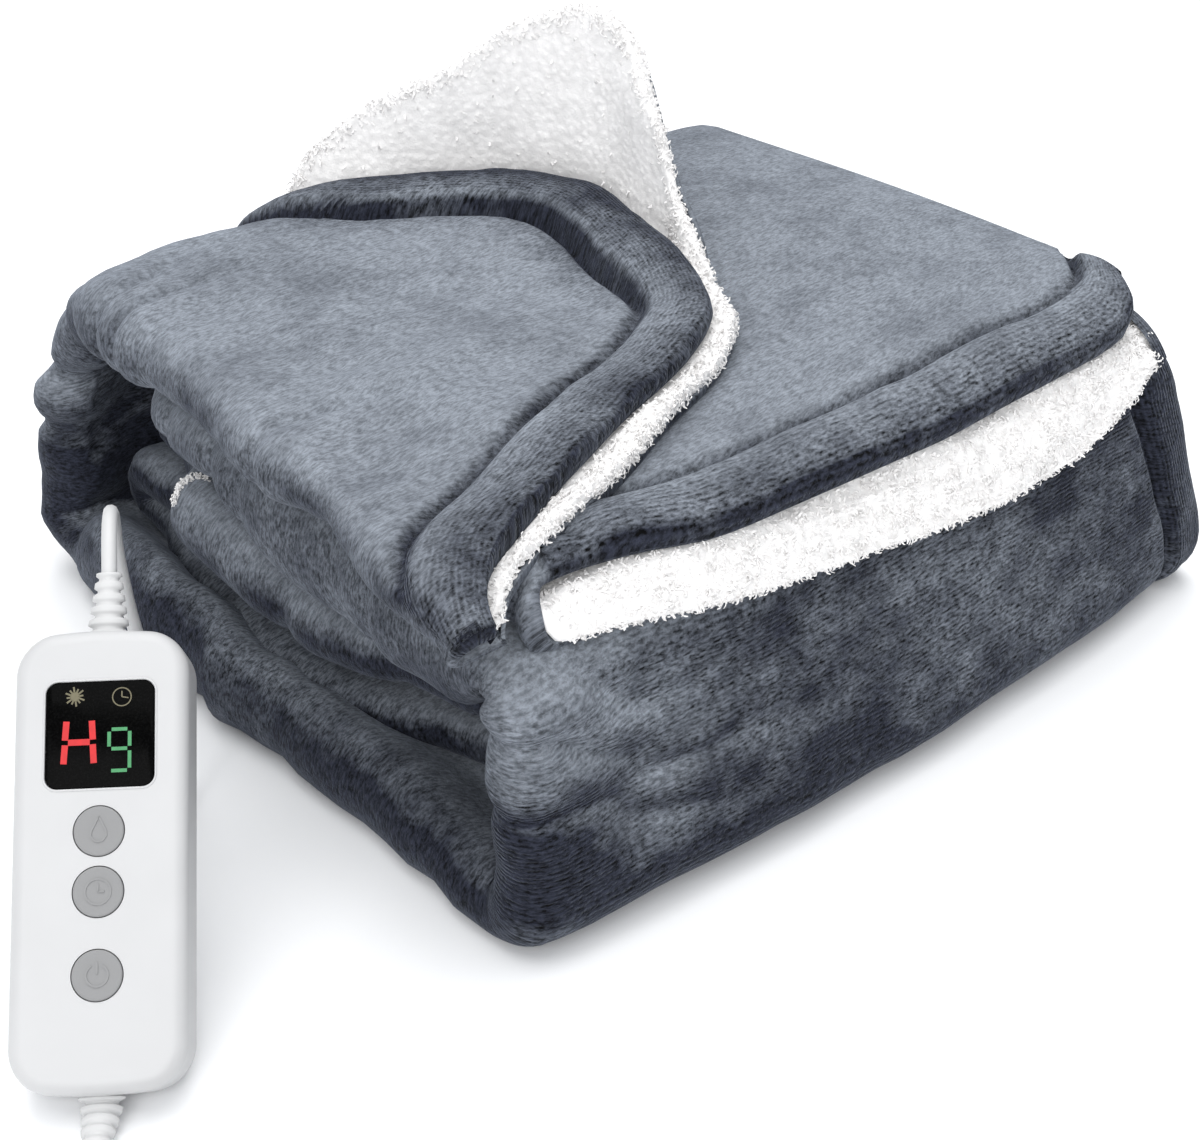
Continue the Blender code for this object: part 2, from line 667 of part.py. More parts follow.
def add_relief(name, route, side, wide, thick, ribs, material):
    """Ribbed oval strain relief, lofted along its route between two unlike sections."""
    steps = 4 * ribs
    points = through(route, steps + 1)
    mesh = bmesh.new()
    rings = []
    for k, point in enumerate(points):
        ahead = (points[min(k + 1, steps)] - points[max(k - 1, 0)]).normalized()
        upright = side.cross(ahead)
        share = (k / steps) ** 0.8
        size = RELIEF_NOTCH if k % 4 == 2 else 1.0
        half_wide = (wide[0] + (wide[1] - wide[0]) * share) * size
        half_thick = (thick[0] + (thick[1] - thick[0]) * share) * size
        ring = []
        for j in range(RELIEF_SIDES):
            turn = 2 * math.pi * j / RELIEF_SIDES
            spot = point + side * half_wide * math.cos(turn) + upright * half_thick * math.sin(turn)
            ring.append(mesh.verts.new(spot))
        rings.append(ring)
    for near, far in zip(rings, rings[1:]):
        for j in range(RELIEF_SIDES):
            following = (j + 1) % RELIEF_SIDES
            mesh.faces.new((near[j], near[following], far[following], far[j]))
    mesh.faces.new(rings[0])
    mesh.faces.new(rings[-1])
    bmesh.ops.recalc_face_normals(mesh, faces=mesh.faces[:])
    return add_mesh(name, mesh, material)


def add_coil(name, middle, turns, layers, material):
    """Turned ring in the outer shape of a coil's turns."""
    edge = 0.0012
    inner = turns[0] - CORD_RADIUS - FIT
    outer = turns[-1] + CORD_RADIUS + FIT
    height = 2 * CORD_RADIUS * layers + layers * FIT
    profile = (
        (outer, height - edge), (outer, edge), (outer - edge, 0.0), (inner + edge, 0.0),
        (inner, edge), (inner, height - edge), (inner + edge, height), (outer - edge, height),
    )
    mesh = bmesh.new()
    corners = [mesh.verts.new((x, 0.0, z)) for x, z in profile]
    for corner, following in zip(corners, corners[1:] + corners[:1]):
        mesh.edges.new((corner, following))
    made = add_mesh(name, mesh, material)
    made.location = middle
    turned = made.modifiers.new("turned", "SCREW")
    turned.steps = 28
    turned.render_steps = 28
    turned.use_merge_vertices = True
    turned.merge_threshold = 0.0001
    return made


# ---------------------------------------------------------------- the hand controller
def heading_vectors():
    """Level unit vectors ahead of the controller's foot and to the left of that."""
    ahead = Vector((math.cos(HEADING), math.sin(HEADING), 0.0))
    return ahead, Vector((-ahead.y, ahead.x, 0.0))


def controller_place(along, lift):
    """Placement on the controller, with X across its face, Y up its length and Z out of its face."""
    ahead, _ = heading_vectors()
    up = ahead * math.cos(LEAN) + Vector((0, 0, math.sin(LEAN)))
    face = -ahead * math.sin(LEAN) + Vector((0, 0, math.cos(LEAN)))
    spot = Vector(CONTROLLER_FOOT) + up * along + face * lift
    return Matrix.Translation(spot) @ Matrix((up.cross(face), up, face)).transposed().to_4x4()


def from_foot(route):
    """Points of a route given ahead, to the left and in height from the controller's foot."""
    ahead, left = heading_vectors()
    foot = Vector((CONTROLLER_FOOT[0], CONTROLLER_FOOT[1], 0.0))
    return [foot + ahead * along + left * aside + Vector((0, 0, z)) for along, aside, z in route]


def add_controller_case(case_white):
    ring = outline_ring(CASE_WIDTH, CASE_LENGTH - 2 * CASE_DOME, CASE_CORNER, CASE_DOME)
    case = add_plate("controller_case", ring, CASE_THICK, controller_place(CASE_LENGTH / 2, 0.0),
                     case_white)
    add_bevel(case, CASE_ROUNDING, 3)
    side = DISPLAY_SIDE + 2 * FIT
    pocket = add_plate("display_pocket", outline_ring(side, side, DISPLAY_CORNER + FIT),
                       2 * DISPLAY_THICK,
                       controller_place(DISPLAY_AT, CASE_THICK - DISPLAY_SUNK - DISPLAY_THICK - FIT),
                       case_white, "cutters")
    cut_pocket(case, "display", pocket)
    for name, along in BUTTONS:
        hole = add_disc(name + "_hole", BUTTON_RADIUS + FIT, 2 * BUTTON_POCKET,
                        controller_place(along, CASE_THICK), case_white, "cutters")
        cut_pocket(case, name, hole)


def add_display(display_black):
    ring = outline_ring(DISPLAY_SIDE, DISPLAY_SIDE, DISPLAY_CORNER)
    place = controller_place(DISPLAY_AT, CASE_THICK - DISPLAY_SUNK - DISPLAY_THICK)
    add_plate("display_window", ring, DISPLAY_THICK, place, display_black)


def add_buttons(button_grey):
    thick = BUTTON_POCKET - BUTTON_ROOM + BUTTON_PROUD
    for name, along in BUTTONS:
        place = controller_place(along, CASE_THICK + BUTTON_PROUD - thick / 2)
        button = add_disc(name, BUTTON_RADIUS, thick, place, button_grey)
        add_bevel(button, BUTTON_EDGE, 2)


def top_relief_route():
    return [controller_place(CASE_LENGTH + FIT + RELIEF_LENGTH * k / 2, TOP_LIFT).translation
            for k in range(3)]


def low_relief_route():
    """Out of the low end along the case, then round on LOW_BEND until it is nearly level."""
    start = controller_place(-FIT, LOW_LIFT).translation
    ahead, _ = heading_vectors()
    route = []
    for k in range(5):
        slope = LEAN + (LOW_SLOPE - LEAN) * k / 4
        back = LOW_BEND * (math.sin(LEAN) - math.sin(slope))
        fall = LOW_BEND * (math.cos(slope) - math.cos(LEAN))
        route.append(start - ahead * back - Vector((0, 0, fall)))
    rest = RELIEF_LENGTH - LOW_BEND * (LEAN - LOW_SLOPE)
    for share in (0.5, 1.0):
        step = ahead * math.cos(LOW_SLOPE) + Vector((0, 0, math.sin(LOW_SLOPE)))
        route.append(route[4] - step * rest * share)
    return route


def after(route, gap):
    """Two points that carry a route straight on, past a gap."""
    ahead = (route[-1] - route[-2]).normalized()
    return [route[-1] + ahead * gap, route[-1] + ahead * (gap + LEAD_IN)]


# ---------------------------------------------------------------- the leads
def add_mains(white):
    """Low relief, supply lead to its neat coil, and the tail from the coil to the plug."""
    _, left = heading_vectors()
    relief = low_relief_route()
    add_relief("relief_bottom", relief, left, RELIEF_WIDE, RELIEF_THICK, RELIEF_RIBS, white)
    add_cord("mains_lead", after(relief, FIT) + from_foot(MAINS_ROUTE), 16, white)
    middle = from_foot(((*MAINS_COIL, 0.0),))[0]
    add_coil("mains_coil", middle, MAINS_TURNS, MAINS_LAYERS, white)
    add_cord("plug_tail", from_foot(TAIL_ROUTE), 18, white)


def add_plug(white, metal):
    """Two-blade plug on the far end of the tail."""
    tail = from_foot(TAIL_ROUTE)
    ahead = tail[-1] - tail[-2]
    ahead = Vector((ahead.x, ahead.y, 0.0)).normalized()
    turn = Matrix.Rotation(math.atan2(-ahead.x, ahead.y), 4, "Z")
    middle = tail[-1] + ahead * (FIT + PLUG_LENGTH / 2)
    middle.z = 0.0
    body = add_plate("plug_body", outline_ring(PLUG_WIDTH, PLUG_LENGTH, PLUG_CORNER), PLUG_THICK,
                     Matrix.Translation(middle) @ turn, white)
    add_bevel(body, PLUG_ROUNDING, 3)
    for name, side in (("plug_blade_left", -1), ("plug_blade_right", 1)):
        mesh = bmesh.new()
        bmesh.ops.create_cube(mesh, size=1.0)
        bmesh.ops.scale(mesh, verts=mesh.verts[:], vec=BLADE_SIZE)
        blade = add_mesh(name, mesh, metal)
        out = PLUG_LENGTH / 2 + FIT + BLADE_SIZE[1] / 2
        offset = Vector((side * BLADE_SPACING / 2, out, PLUG_THICK / 2))
        blade.matrix_world = Matrix.Translation(middle) @ turn @ Matrix.Translation(offset)


def add_blanket_lead(white):
    """Top relief, lead down to a small coil on the floor, and the run into the blanket's gland."""
    ahead, left = heading_vectors()
    relief = top_relief_route()
    add_relief("relief_top", relief, left, RELIEF_WIDE, RELIEF_THICK, RELIEF_RIBS, white)
    add_cord("blanket_lead", after(relief, FIT) + from_foot(DROP_ROUTE), 30, white)
    middle = from_foot(((*LEAD_COIL, 0.0),))[0]
    add_coil("lead_coil", middle, (LEAD_TURN,), LEAD_LAYERS, white)
    into = Vector((math.cos(GLAND_TURN), math.sin(GLAND_TURN), GLAND_RISE)).normalized()
    end = to_part(GLAND_END)
    gland = [end - into * GLAND_LENGTH * share for share in (1.0, 0.5, 0.0)]
    arrival = [gland[0] - into * (FIT + LEAD_IN), gland[0] - into * FIT]
    add_cord("lead_run", from_foot(RUN_ROUTE) + arrival, 18, white)
    side = Vector((-into.y, into.x, 0.0)).normalized()
    add_relief("blanket_gland", gland, side, GLAND_WIDE, GLAND_THICK, GLAND_RIBS, white)


def main():
    clear_scene()
    plush = make_material("plush_blue_grey", (0.105, 0.125, 0.160), 0.95)
    fleece = make_material("sherpa_white", (0.88, 0.87, 0.85), 0.98)
    case_white = make_material("moulded_white", (0.80, 0.80, 0.81), 0.38)
    display_black = make_material("display_black", (0.006, 0.006, 0.007), 0.15)
    button_grey = make_material("button_grey", (0.38, 0.38, 0.385), 0.55)
    cord_white = make_material("cord_white", (0.80, 0.80, 0.80), 0.50)
    metal = make_material("plug_metal", (0.70, 0.66, 0.55), 0.30, 1.0)
    sheet("plush_panel", 0.0, PLUSH, 1.0, plush)
    sheet("sherpa_lining", PLUSH + PLY_GAP, SHERPA, 0.0, fleece)
    add_controller_case(case_white)
    add_display(display_black)
    add_buttons(button_grey)
    add_mains(cord_white)
    add_plug(cord_white, metal)
    add_blanket_lead(cord_white)


main()
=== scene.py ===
"""Looks of the electric heated blanket: plush and sherpa cloth, its leads and its hand controller.

Units are metres in the part's own frame: the origin is the middle of the flat underside of the
stack, X runs along its long front wall and Y from that wall to its back.  Each cloth is a fine skin
swept along the same folded path as its solid.
"""

import math

import bmesh
import bpy
import numpy as np
from mathutils import Matrix, Vector
from mathutils.bvhtree import BVHTree


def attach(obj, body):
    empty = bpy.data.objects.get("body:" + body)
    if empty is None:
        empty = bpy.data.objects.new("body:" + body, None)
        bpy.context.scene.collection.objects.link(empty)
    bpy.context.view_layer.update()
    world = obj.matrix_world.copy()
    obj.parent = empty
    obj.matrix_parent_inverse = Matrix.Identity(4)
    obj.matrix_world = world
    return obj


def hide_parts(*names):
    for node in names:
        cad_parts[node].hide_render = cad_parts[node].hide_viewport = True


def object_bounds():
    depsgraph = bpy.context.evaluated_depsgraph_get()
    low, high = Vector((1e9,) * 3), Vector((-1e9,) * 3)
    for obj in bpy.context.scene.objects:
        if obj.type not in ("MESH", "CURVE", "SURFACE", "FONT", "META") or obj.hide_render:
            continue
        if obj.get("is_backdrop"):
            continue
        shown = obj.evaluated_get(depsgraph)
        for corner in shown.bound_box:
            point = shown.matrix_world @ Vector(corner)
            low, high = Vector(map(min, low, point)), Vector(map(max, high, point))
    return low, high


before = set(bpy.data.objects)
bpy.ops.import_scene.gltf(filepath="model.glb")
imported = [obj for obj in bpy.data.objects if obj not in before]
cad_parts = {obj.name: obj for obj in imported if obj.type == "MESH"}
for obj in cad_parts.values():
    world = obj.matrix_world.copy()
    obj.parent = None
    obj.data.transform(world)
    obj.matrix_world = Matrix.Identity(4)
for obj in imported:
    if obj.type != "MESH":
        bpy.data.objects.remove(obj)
CAD_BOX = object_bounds()

# ---------------------------------------------------------------- sizes of the folded stack
STACK_WIDTH = 0.385
STACK_DEPTH = 0.340
PLUSH = 0.0035
SHERPA = 0.0060
PLY_GAP = 0.0003
HALF = PLUSH + SHERPA + 0.0005
PITCH = 2 * HALF + 0.0006
ROLL_REACH = 0.045
NOSE = 0.014
LIP_RADIUS = 0.0160
WRAP_RADIUS = 0.0450
HEEL_RADIUS = 0.0300
TOE_RADIUS = 0.0150
TIGHT = PITCH / 2
WIDE = 1.5 * PITCH
ORIGIN = (STACK_WIDTH / 2, STACK_DEPTH / 2, 0.0)

# Free hem of the top layer: Y, X where the upper sheet ends, how far the lower sheet reaches past.
TOP_HEM = (
    (-0.0092, -0.0190, 0.008),
    (-0.0020, -0.0182, 0.010),
    (0.0046, -0.0150, 0.012),
    (0.0103, -0.0094, 0.012),
    (0.0180, 0.0011, 0.013),
    (0.0260, 0.0190, 0.017),
    (0.0347, 0.0423, 0.021),
    (0.0440, 0.0650, 0.023),
    (0.060, 0.100, 0.020),
    (0.078, 0.148, 0.018),
    (0.098, 0.180, 0.013),
    (0.120, 0.194, 0.012),
    (0.142, 0.203, 0.014),
    (0.162, 0.210, 0.022),
    (0.182, 0.215, 0.048),
    (0.205, 0.218, 0.075),
    (0.230, 0.215, 0.084),
    (0.256, 0.203, 0.078),
    (0.280, 0.182, 0.060),
    (0.302, 0.152, 0.043),
    (0.322, 0.134, 0.030),
)
CORNER_START = 0.122
CORNER_END = 0.162
CORNER_ANGLE = math.radians(84)
CORNER_RADIUS = 0.008
# The flap over the front wall: X, how far down its upper and its lower sheet end.
FLAP_ENDS = (
    (0.000, 0.0065, 0.018),
    (0.024, 0.0075, 0.026),
    (0.058, 0.0125, 0.035),
    (0.095, 0.0200, 0.043),
    (0.134, 0.0220, 0.048),
    (0.175, 0.0245, 0.054),
    (0.218, 0.0270, 0.060),
    (0.262, 0.0270, 0.061),
    (0.302, 0.0260, 0.055),
    (0.325, 0.0235, 0.048),
    (0.340, 0.0175, 0.042),
    (0.350, 0.0085, 0.038),
    (0.362, -0.0040, 0.034),
)
HEM_BAND = 0.028             # width of the turned hem
HEM_ROLL = 0.0028            # how far the hem's band swells
CORNER_ROLL = 0.0050         # how much fatter and wider it is in front of the turned corner
CORNER_BAND = 0.008
SEAM_DEPTH = 0.0052
SEAM_WIDTH = 0.0034
THICK_EDGE = (PLUSH + SHERPA) / 2       # radius of a hem whose plush turns over the whole edge
THIN_EDGE = PLUSH / 2
TUCK = 0.006                 # how far the plush runs on inside the hem

# leg, fraction of the leg, x of the closed fold, reach of the fold's lobe on the outer and on the
# inner side of the path, and x of the hems; all in millimetres.
FOLDS = (
    ("tip", 0.0, -34, 10, 10, 0),
    ("top", 0.0, -34, 11, 10, 0),
    ("top", 0.12, -30, 12, 10, 0),
    ("top", 0.3, -20, 12, 12, 0),
    ("top", 0.6, -9, 13, 14, 0),
    ("top", 1.0, -2, 14, 17, 0),
    ("wrap", 0.40, 0, 14, 18, 0),
    ("wrap", 0.58, 6, 14, 20, 0),
    ("wrap", 0.74, 7, 14, 20, 0),
    ("wrap", 0.90, 8, 13, 15, 165),
    ("back", 0.00, 11, 10, 11, 0),
    ("back", 0.14, 1, 12, 16, 0),
    ("back", 0.28, 0, 13, 19, 240),
    ("back", 0.44, 6, 11, 13, 0),
    ("back", 0.58, 2, 14, 18, 0),
    ("back", 0.80, 3, 15, 20, 300),
    ("heel", 0.10, -4, 12, 18, 0),
    ("heel", 0.40, -1, 12, 22, 0),
    ("heel", 0.70, 1, 12, 26, 345),
    ("heel", 1.00, -3, 10, 30, 365),
    ("floor", 0.20, -14, 10, 42, 376),
    ("floor", 0.40, -15, 10, 36, 385),
    ("floor", 0.60, -12, 10, 28, 388),
    ("floor", 0.85, -11, 10, 22, 392),
    ("toe", 0.5, -11, 10, 14, 397),
    ("front", 0.5, -7, 11, 12, 386),
    ("lip", 0.5, -5, 11, 12, 368),
    ("roll", 0.0, -5, 10, 15, 362),
    ("roll", 0.08, -5, 11, 28, 360),
    ("roll", 0.35, -5, 21, 28, 358),
    ("roll", 0.50, -3, 25, 22, 358),
    ("roll", 0.72, 0, 22, 3, 360),
    ("roll", 0.92, 14, 10, 10, 370),
    ("turn_54", 0.5, 42, 10, 10, 366),
    ("four", 0.5, 50, 10, 10, 362),
    ("turn_41", 0.5, 52, 10, 10, 360),
    ("one", 0.10, 30, 10, 10, 366),
    ("one", 0.25, 8, 10, 14, 366),
    ("one", 0.50, 2, 11, 16, 366),
    ("one", 0.75, 14, 11, 14, 366),
    ("turn_12", 0.5, 34, 10, 10, 368),
    ("two", 0.15, 30, 10, 10, 364),
    ("two", 0.5, 24, 12, 10, 364),
    ("two", 0.85, 34, 10, 10, 364),
    ("turn_23", 0.5, 24, 10, 10, 362),
    ("three", 0.15, 12, 10, 14, 364),
    ("three", 0.40, 0, 11, 17, 366),
    ("three", 0.60, -1, 22, 12, 366),
    ("three", 0.78, 4, 22, 8, 366),
    ("three", 0.95, 34, 10, 10, 364),
    ("turn_36", 0.5, 48, 10, 10, 362),
    ("flap", 0.4, 48, 10, 10, 364),
    ("flap", 0.8, 34, 10, 10, 362),
    ("flap", 1.0, 12, 12, 12, 358),
    ("brow", 0.5, 6, 14, 14, 356),
    ("brow", 1.0, 5, 14, 14, 358),
)

# Length of one step of the skins along each leg of the path, plush and sherpa.
LEG_STEP = {
    "tip": (0.0021, 0.0021), "top": (0.0021, 0.0021), "wrap": (0.0030, 0.0030), "back": (0.0045, 0.020),
    "heel": (0.0040, 0.012), "floor": (0.0140, 0.030), "toe": (0.0030, 0.012), "front": (0.0027, 0.020),
    "lip": (0.0024, 0.008), "roll": (0.0050, 0.020), "turn_54": (0.0060, 0.008), "four": (0.016, 0.030),
    "turn_41": (0.0080, 0.010), "one": (0.016, 0.030), "turn_12": (0.0060, 0.008), "two": (0.016, 0.030),
    "turn_23": (0.0060, 0.008), "three": (0.0050, 0.020), "turn_36": (0.0080, 0.010),
    "flap": (0.0060, 0.0060), "brow": (0.0018, 0.0018),
}


# ---------------------------------------------------------------- the folded path
def mm(value):
    return value * 0.001


def ease(low, high, value):
    """Smooth step from 0 at low to 1 at high."""
    part = np.clip((value - low) / (high - low), 0.0, 1.0)
    return part * part * (3.0 - 2.0 * part)


def level(layer):
    return HALF + layer * PITCH


def line(y0, z0, y1, z1):
    length = math.hypot(y1 - y0, z1 - z0)
    ty, tz = (y1 - y0) / length, (z1 - z0) / length

    def at(f):
        return (y0 + (y1 - y0) * f, z0 + (z1 - z0) * f, -tz + 0 * f, ty + 0 * f)
    return at, length


def arc(cy, cz, radius, start, end):
    """Arc from start to end degrees; the normal points out on a clockwise arc, else in."""
    a0, a1 = math.radians(start), math.radians(end)
    side = 1.0 if a1 < a0 else -1.0

    def at(f):
        a = a0 + (a1 - a0) * f
        return (cy + radius * np.cos(a), cz + radius * np.sin(a), side * np.cos(a), side * np.sin(a))
    return at, radius * abs(a1 - a0)


def folded_path():
    """The legs of the path in order, each a name, a function of its fraction and its length."""
    depth = STACK_DEPTH
    lip_y = HALF + LIP_RADIUS
    lip_z = level(5) - LIP_RADIUS
    brow = LIP_RADIUS + PITCH
    tip = brow + PITCH
    heel_z = level(0) + HEEL_RADIUS
    heel_back = depth - HALF - HEEL_RADIUS
    toe_y = HALF + TOE_RADIUS
    toe_z = level(0) + TOE_RADIUS
    wrap_y = depth - HALF - WRAP_RADIUS
    wrap_z = level(7) - WRAP_RADIUS
    inner_front = PITCH + HALF
    inner_back = depth - PITCH - HALF
    wide_front = inner_front + WIDE
    wide_back = inner_back - WIDE
    low_back = inner_back - TIGHT
    return (
        ("tip", *arc(lip_y, lip_z, tip, 128, 90)),
        ("top", *line(lip_y, level(7), wrap_y, level(7))),
        ("wrap", *arc(wrap_y, wrap_z, WRAP_RADIUS, 90, 0)),
        ("back", *line(depth - HALF, wrap_z, depth - HALF, heel_z)),
        ("heel", *arc(heel_back, heel_z, HEEL_RADIUS, 0, -90)),
        ("floor", *line(heel_back, level(0), toe_y, level(0))),
        ("toe", *arc(toe_y, toe_z, TOE_RADIUS, 270, 180)),
        ("front", *line(HALF, toe_z, HALF, lip_z)),
        ("lip", *arc(lip_y, lip_z, LIP_RADIUS, 180, 90)),
        ("roll", *line(lip_y, level(5), wide_back, level(5))),
        ("turn_54", *arc(wide_back, (level(5) + level(4)) / 2, TIGHT, 90, -90)),
        ("four", *line(wide_back, level(4), wide_front, level(4))),
        ("turn_41", *arc(wide_front, (level(4) + level(1)) / 2, WIDE, 90, 270)),
        ("one", *line(wide_front, level(1), low_back, level(1))),
        ("turn_12", *arc(low_back, (level(1) + level(2)) / 2, TIGHT, -90, 90)),
        ("two", *line(low_back, level(2), wide_front, level(2))),
        ("turn_23", *arc(wide_front, (level(2) + level(3)) / 2, TIGHT, 270, 90)),
        ("three", *line(wide_front, level(3), wide_back, level(3))),
        ("turn_36", *arc(wide_back, (level(3) + level(6)) / 2, WIDE, -90, 90)),
        ("flap", *line(wide_back, level(6), lip_y, level(6))),
        ("brow", *arc(lip_y, lip_z, brow, 90, 90 + math.degrees(0.056 / brow))),
    )


PATH = folded_path()
LEG_START = {}
for leg_index, (leg_name, _, _) in enumerate(PATH):
    LEG_START[leg_name] = sum(entry[2] for entry in PATH[:leg_index])
LEG_LENGTH = {name: length for name, _, length in PATH}


def travel(leg, fraction):
    return LEG_START[leg] + LEG_LENGTH[leg] * fraction


def path_at(s):
    """Y, Z and the normal (ny, nz) of the path at the distances s."""
    result = np.zeros((4,) + s.shape)
    last = PATH[-1][0]
    first = PATH[0][0]
    for name, at, length in PATH:
        start = LEG_START[name]
        here = ((s >= start) | (name == first)) & ((s < start + length) | (name == last))
        result[:, here] = at((s[here] - start) / length)
    return result


def curve(knots, values, at):
    """Smooth curve through the knots that never overshoots them."""
    knots, values = np.asarray(knots, float), np.asarray(values, float)
    steps = np.diff(knots)
    slopes = np.diff(values) / steps
    tangents = np.zeros(len(knots))
    same = slopes[1:] * slopes[:-1] > 0
    mean = 2 * slopes[1:] * slopes[:-1] / np.where(same, slopes[1:] + slopes[:-1], 1.0)
    tangents[1:-1] = np.where(same, mean, 0.0)
    tangents[0], tangents[-1] = slopes[0], slopes[-1]
    at = np.clip(at, knots[0], knots[-1])
    i = np.clip(np.searchsorted(knots, at, side="right") - 1, 0, len(steps) - 1)
    t = (at - knots[i]) / steps[i]
    h00, h10 = 2 * t ** 3 - 3 * t ** 2 + 1, t ** 3 - 2 * t ** 2 + t
    h01, h11 = 3 * t ** 2 - 2 * t ** 3, t ** 3 - t ** 2
    return (h00 * values[i] + h10 * steps[i] * tangents[i]
            + h01 * values[i + 1] + h11 * steps[i] * tangents[i + 1])


def top_travel(y):
    """Distance along the path of a place Y on the top layer."""
    lip_y = HALF + LIP_RADIUS
    radius = LIP_RADIUS + 2 * PITCH
    wrap_y = STACK_DEPTH - HALF - WRAP_RADIUS
    if y < lip_y:
        return LEG_LENGTH["tip"] - radius * math.asin((lip_y - y) / radius)
    if y < wrap_y:
        return LEG_START["top"] + y - lip_y
    return LEG_START["wrap"] + WRAP_RADIUS * math.asin(min((y - wrap_y) / WRAP_RADIUS, 1.0))


def fold_table():
    knots = [travel(leg, fraction) for leg, fraction, *_ in FOLDS]
    fold = [mm(row[2]) for row in FOLDS]
    outer = [mm(row[3]) for row in FOLDS]
    inner = [mm(row[4]) for row in FOLDS]
    hem = [(top_travel(y), x, past) for y, x, past in TOP_HEM]
    hem += [(travel(row[0], row[1]), mm(row[5]), 0.0) for row in FOLDS if row[5]]
    return (knots, fold, outer, inner, *zip(*hem))


TABLE = fold_table()
STEP_OF_HEM = 0.002          # run over which the slope of the hem is measured
HEM_SAMPLING = 0.0008        # and between the places its distance is measured to


def fold_at(s):
    """Closed fold, outer and inner lobe, hem, reach past it, and the slope factor of the hem."""
    knots, fold, outer, inner, hem_knots, hem_x, past = TABLE
    hem = curve(hem_knots, hem_x, s)
    ahead = curve(hem_knots, hem_x, s + STEP_OF_HEM)
    slope = (ahead - curve(hem_knots, hem_x, s - STEP_OF_HEM)) / (2 * STEP_OF_HEM)
    return (curve(knots, fold, s), curve(knots, outer, s), curve(knots, inner, s), hem,
            np.maximum(curve(hem_knots, past, s), 0.0), np.sqrt(1 + slope ** 2))


def hem_distance(x, s):
    """Distance in the cloth from places inside the top hem to its curve."""
    along = np.arange(0.0, LEG_START["back"], HEM_SAMPLING)
    edge = fold_at(along)[3]
    gap = np.empty_like(x)
    for k, (one_x, one_s) in enumerate(zip(x, s)):
        gap[k] = np.sqrt(np.min((edge - one_x) ** 2 + (along - one_s) ** 2))
    return np.where(x < np.interp(s, along, edge), gap, 0.0)


WALL_SWELL = 0.013           # how far the front wall swells at its ends
MIDDLE_SWELL = 0.014         # and how much further in its middle
CORNER_SWELL = 0.022         # of the back corner at the closed end
CLOSED_SLUMP = 0.040         # share of the height lost at the closed end
OPEN_SLUMP = 0.030           # and at the end with the hems
LOFT = 0.075                 # share gained toward that end
DENTS = 0.010


def settle(x, y, z):
    """Slump of the stack: a front wall that swells low down, soft ends and a full back corner."""
    along = np.clip(x / STACK_WIDTH, 0.0, 1.0)
    swell = WALL_SWELL + MIDDLE_SWELL * (4 * along * (1 - along)) ** 0.8
    front = (1 - ease(0.0, 0.115, z)) * (1 - ease(0.0, 0.110, y))
    corner = (1 - ease(0.0, 0.200, x)) * ease(0.180, 0.340, y) * (1 - ease(0.060, 0.150, z))
    corner = CORNER_SWELL * corner
    ends = 1 - CLOSED_SLUMP * (1 - ease(-0.005, 0.060, x)) - OPEN_SLUMP * ease(0.340, 0.390, x)
    loft = LOFT * ease(0.080, 0.300, x)
    dents = DENTS * np.sin(19 * x + 7 * y + 0.6) * np.sin(13 * y - 6 * x + 1.1)
    return x, y - swell * front + corner, z * (ends + loft + dents)


def standing(y):
    """How far the turned corner of the lower sheet stands up at Y, in radians."""
    return CORNER_ANGLE * ease(CORNER_START, CORNER_END, y)


# ---------------------------------------------------------------- noise for the cloths
def lattice(ix, iy, seed):
    """Repeatable pseudo-random value from 0 to 1 for each whole-number place."""
    mixed = (ix * 374761393 + iy * 668265263 + seed * 974634777) & 0xFFFFFFFF
    mixed = ((mixed ^ (mixed >> 13)) * 1274126177) & 0xFFFFFFFF
    return ((mixed ^ (mixed >> 16)) & 0xFFFF) / 65535.0


def noise(u, v, seed):
    """Smooth noise from -1 to 1 with features one unit across."""
    iu, iv = np.floor(u).astype(np.int64), np.floor(v).astype(np.int64)
    fu, fv = u - iu, v - iv
    fu, fv = fu * fu * (3 - 2 * fu), fv * fv * (3 - 2 * fv)
    low = lattice(iu, iv, seed) * (1 - fu) + lattice(iu + 1, iv, seed) * fu
    high = lattice(iu, iv + 1, seed) * (1 - fu) + lattice(iu + 1, iv + 1, seed) * fu
    return 2 * (low * (1 - fv) + high * fv) - 1


def lumps(u, v, size, seed):
    """Rounded lumps of the given size, from 0 in the clefts to 1 on the crowns."""
    first = 1 - np.abs(noise(u / size, v / size, seed))
    second = 1 - np.abs(noise(u / size * 1.9 + 3.7, v / size * 1.9 + 9.1, seed + 1))
    return 0.65 * first ** 2 + 0.35 * second ** 2


# ---------------------------------------------------------------- the skins of the cloths
LOWEST = 0.0004
TOP_START = 0.0065           # where the top layer starts on the path
FLAP_FINE = 0.030            # stretch of finer rows before the flap's seam
FLAP_ROWS = 14
EDGE_STEPS = 6               # facets round a hem's edge
CREASE = 0.0044              # depth of the folds by the closed fold
BAND_PLACES = (
    0.0060, 0.0080, 0.0100, 0.0122, 0.0146, 0.0170, 0.0194, 0.0216, 0.0234, 0.0250, 0.0264, 0.0276,
    0.0288, 0.0300, 0.0312, 0.0324, 0.0336, 0.0348, 0.0360, 0.0372, 0.0386, 0.0402, 0.0422, 0.0450,
)
END_PLACES = 30              # columns of the lower sheet by its hem
END_REACH = 0.020            # least run of those columns
HEM_SHARE = 0.85             # most of a sheet's width that its hem's columns may take
SHERPA_BACK = 0.004          # how far the sherpa's edge stays behind the plush's
PLUSH_BACK = 0.009           # and the plush's behind the sherpa's, where the lining shows widest
START_BACK = 0.006           # how far the sherpa starts behind the plush on the top layer
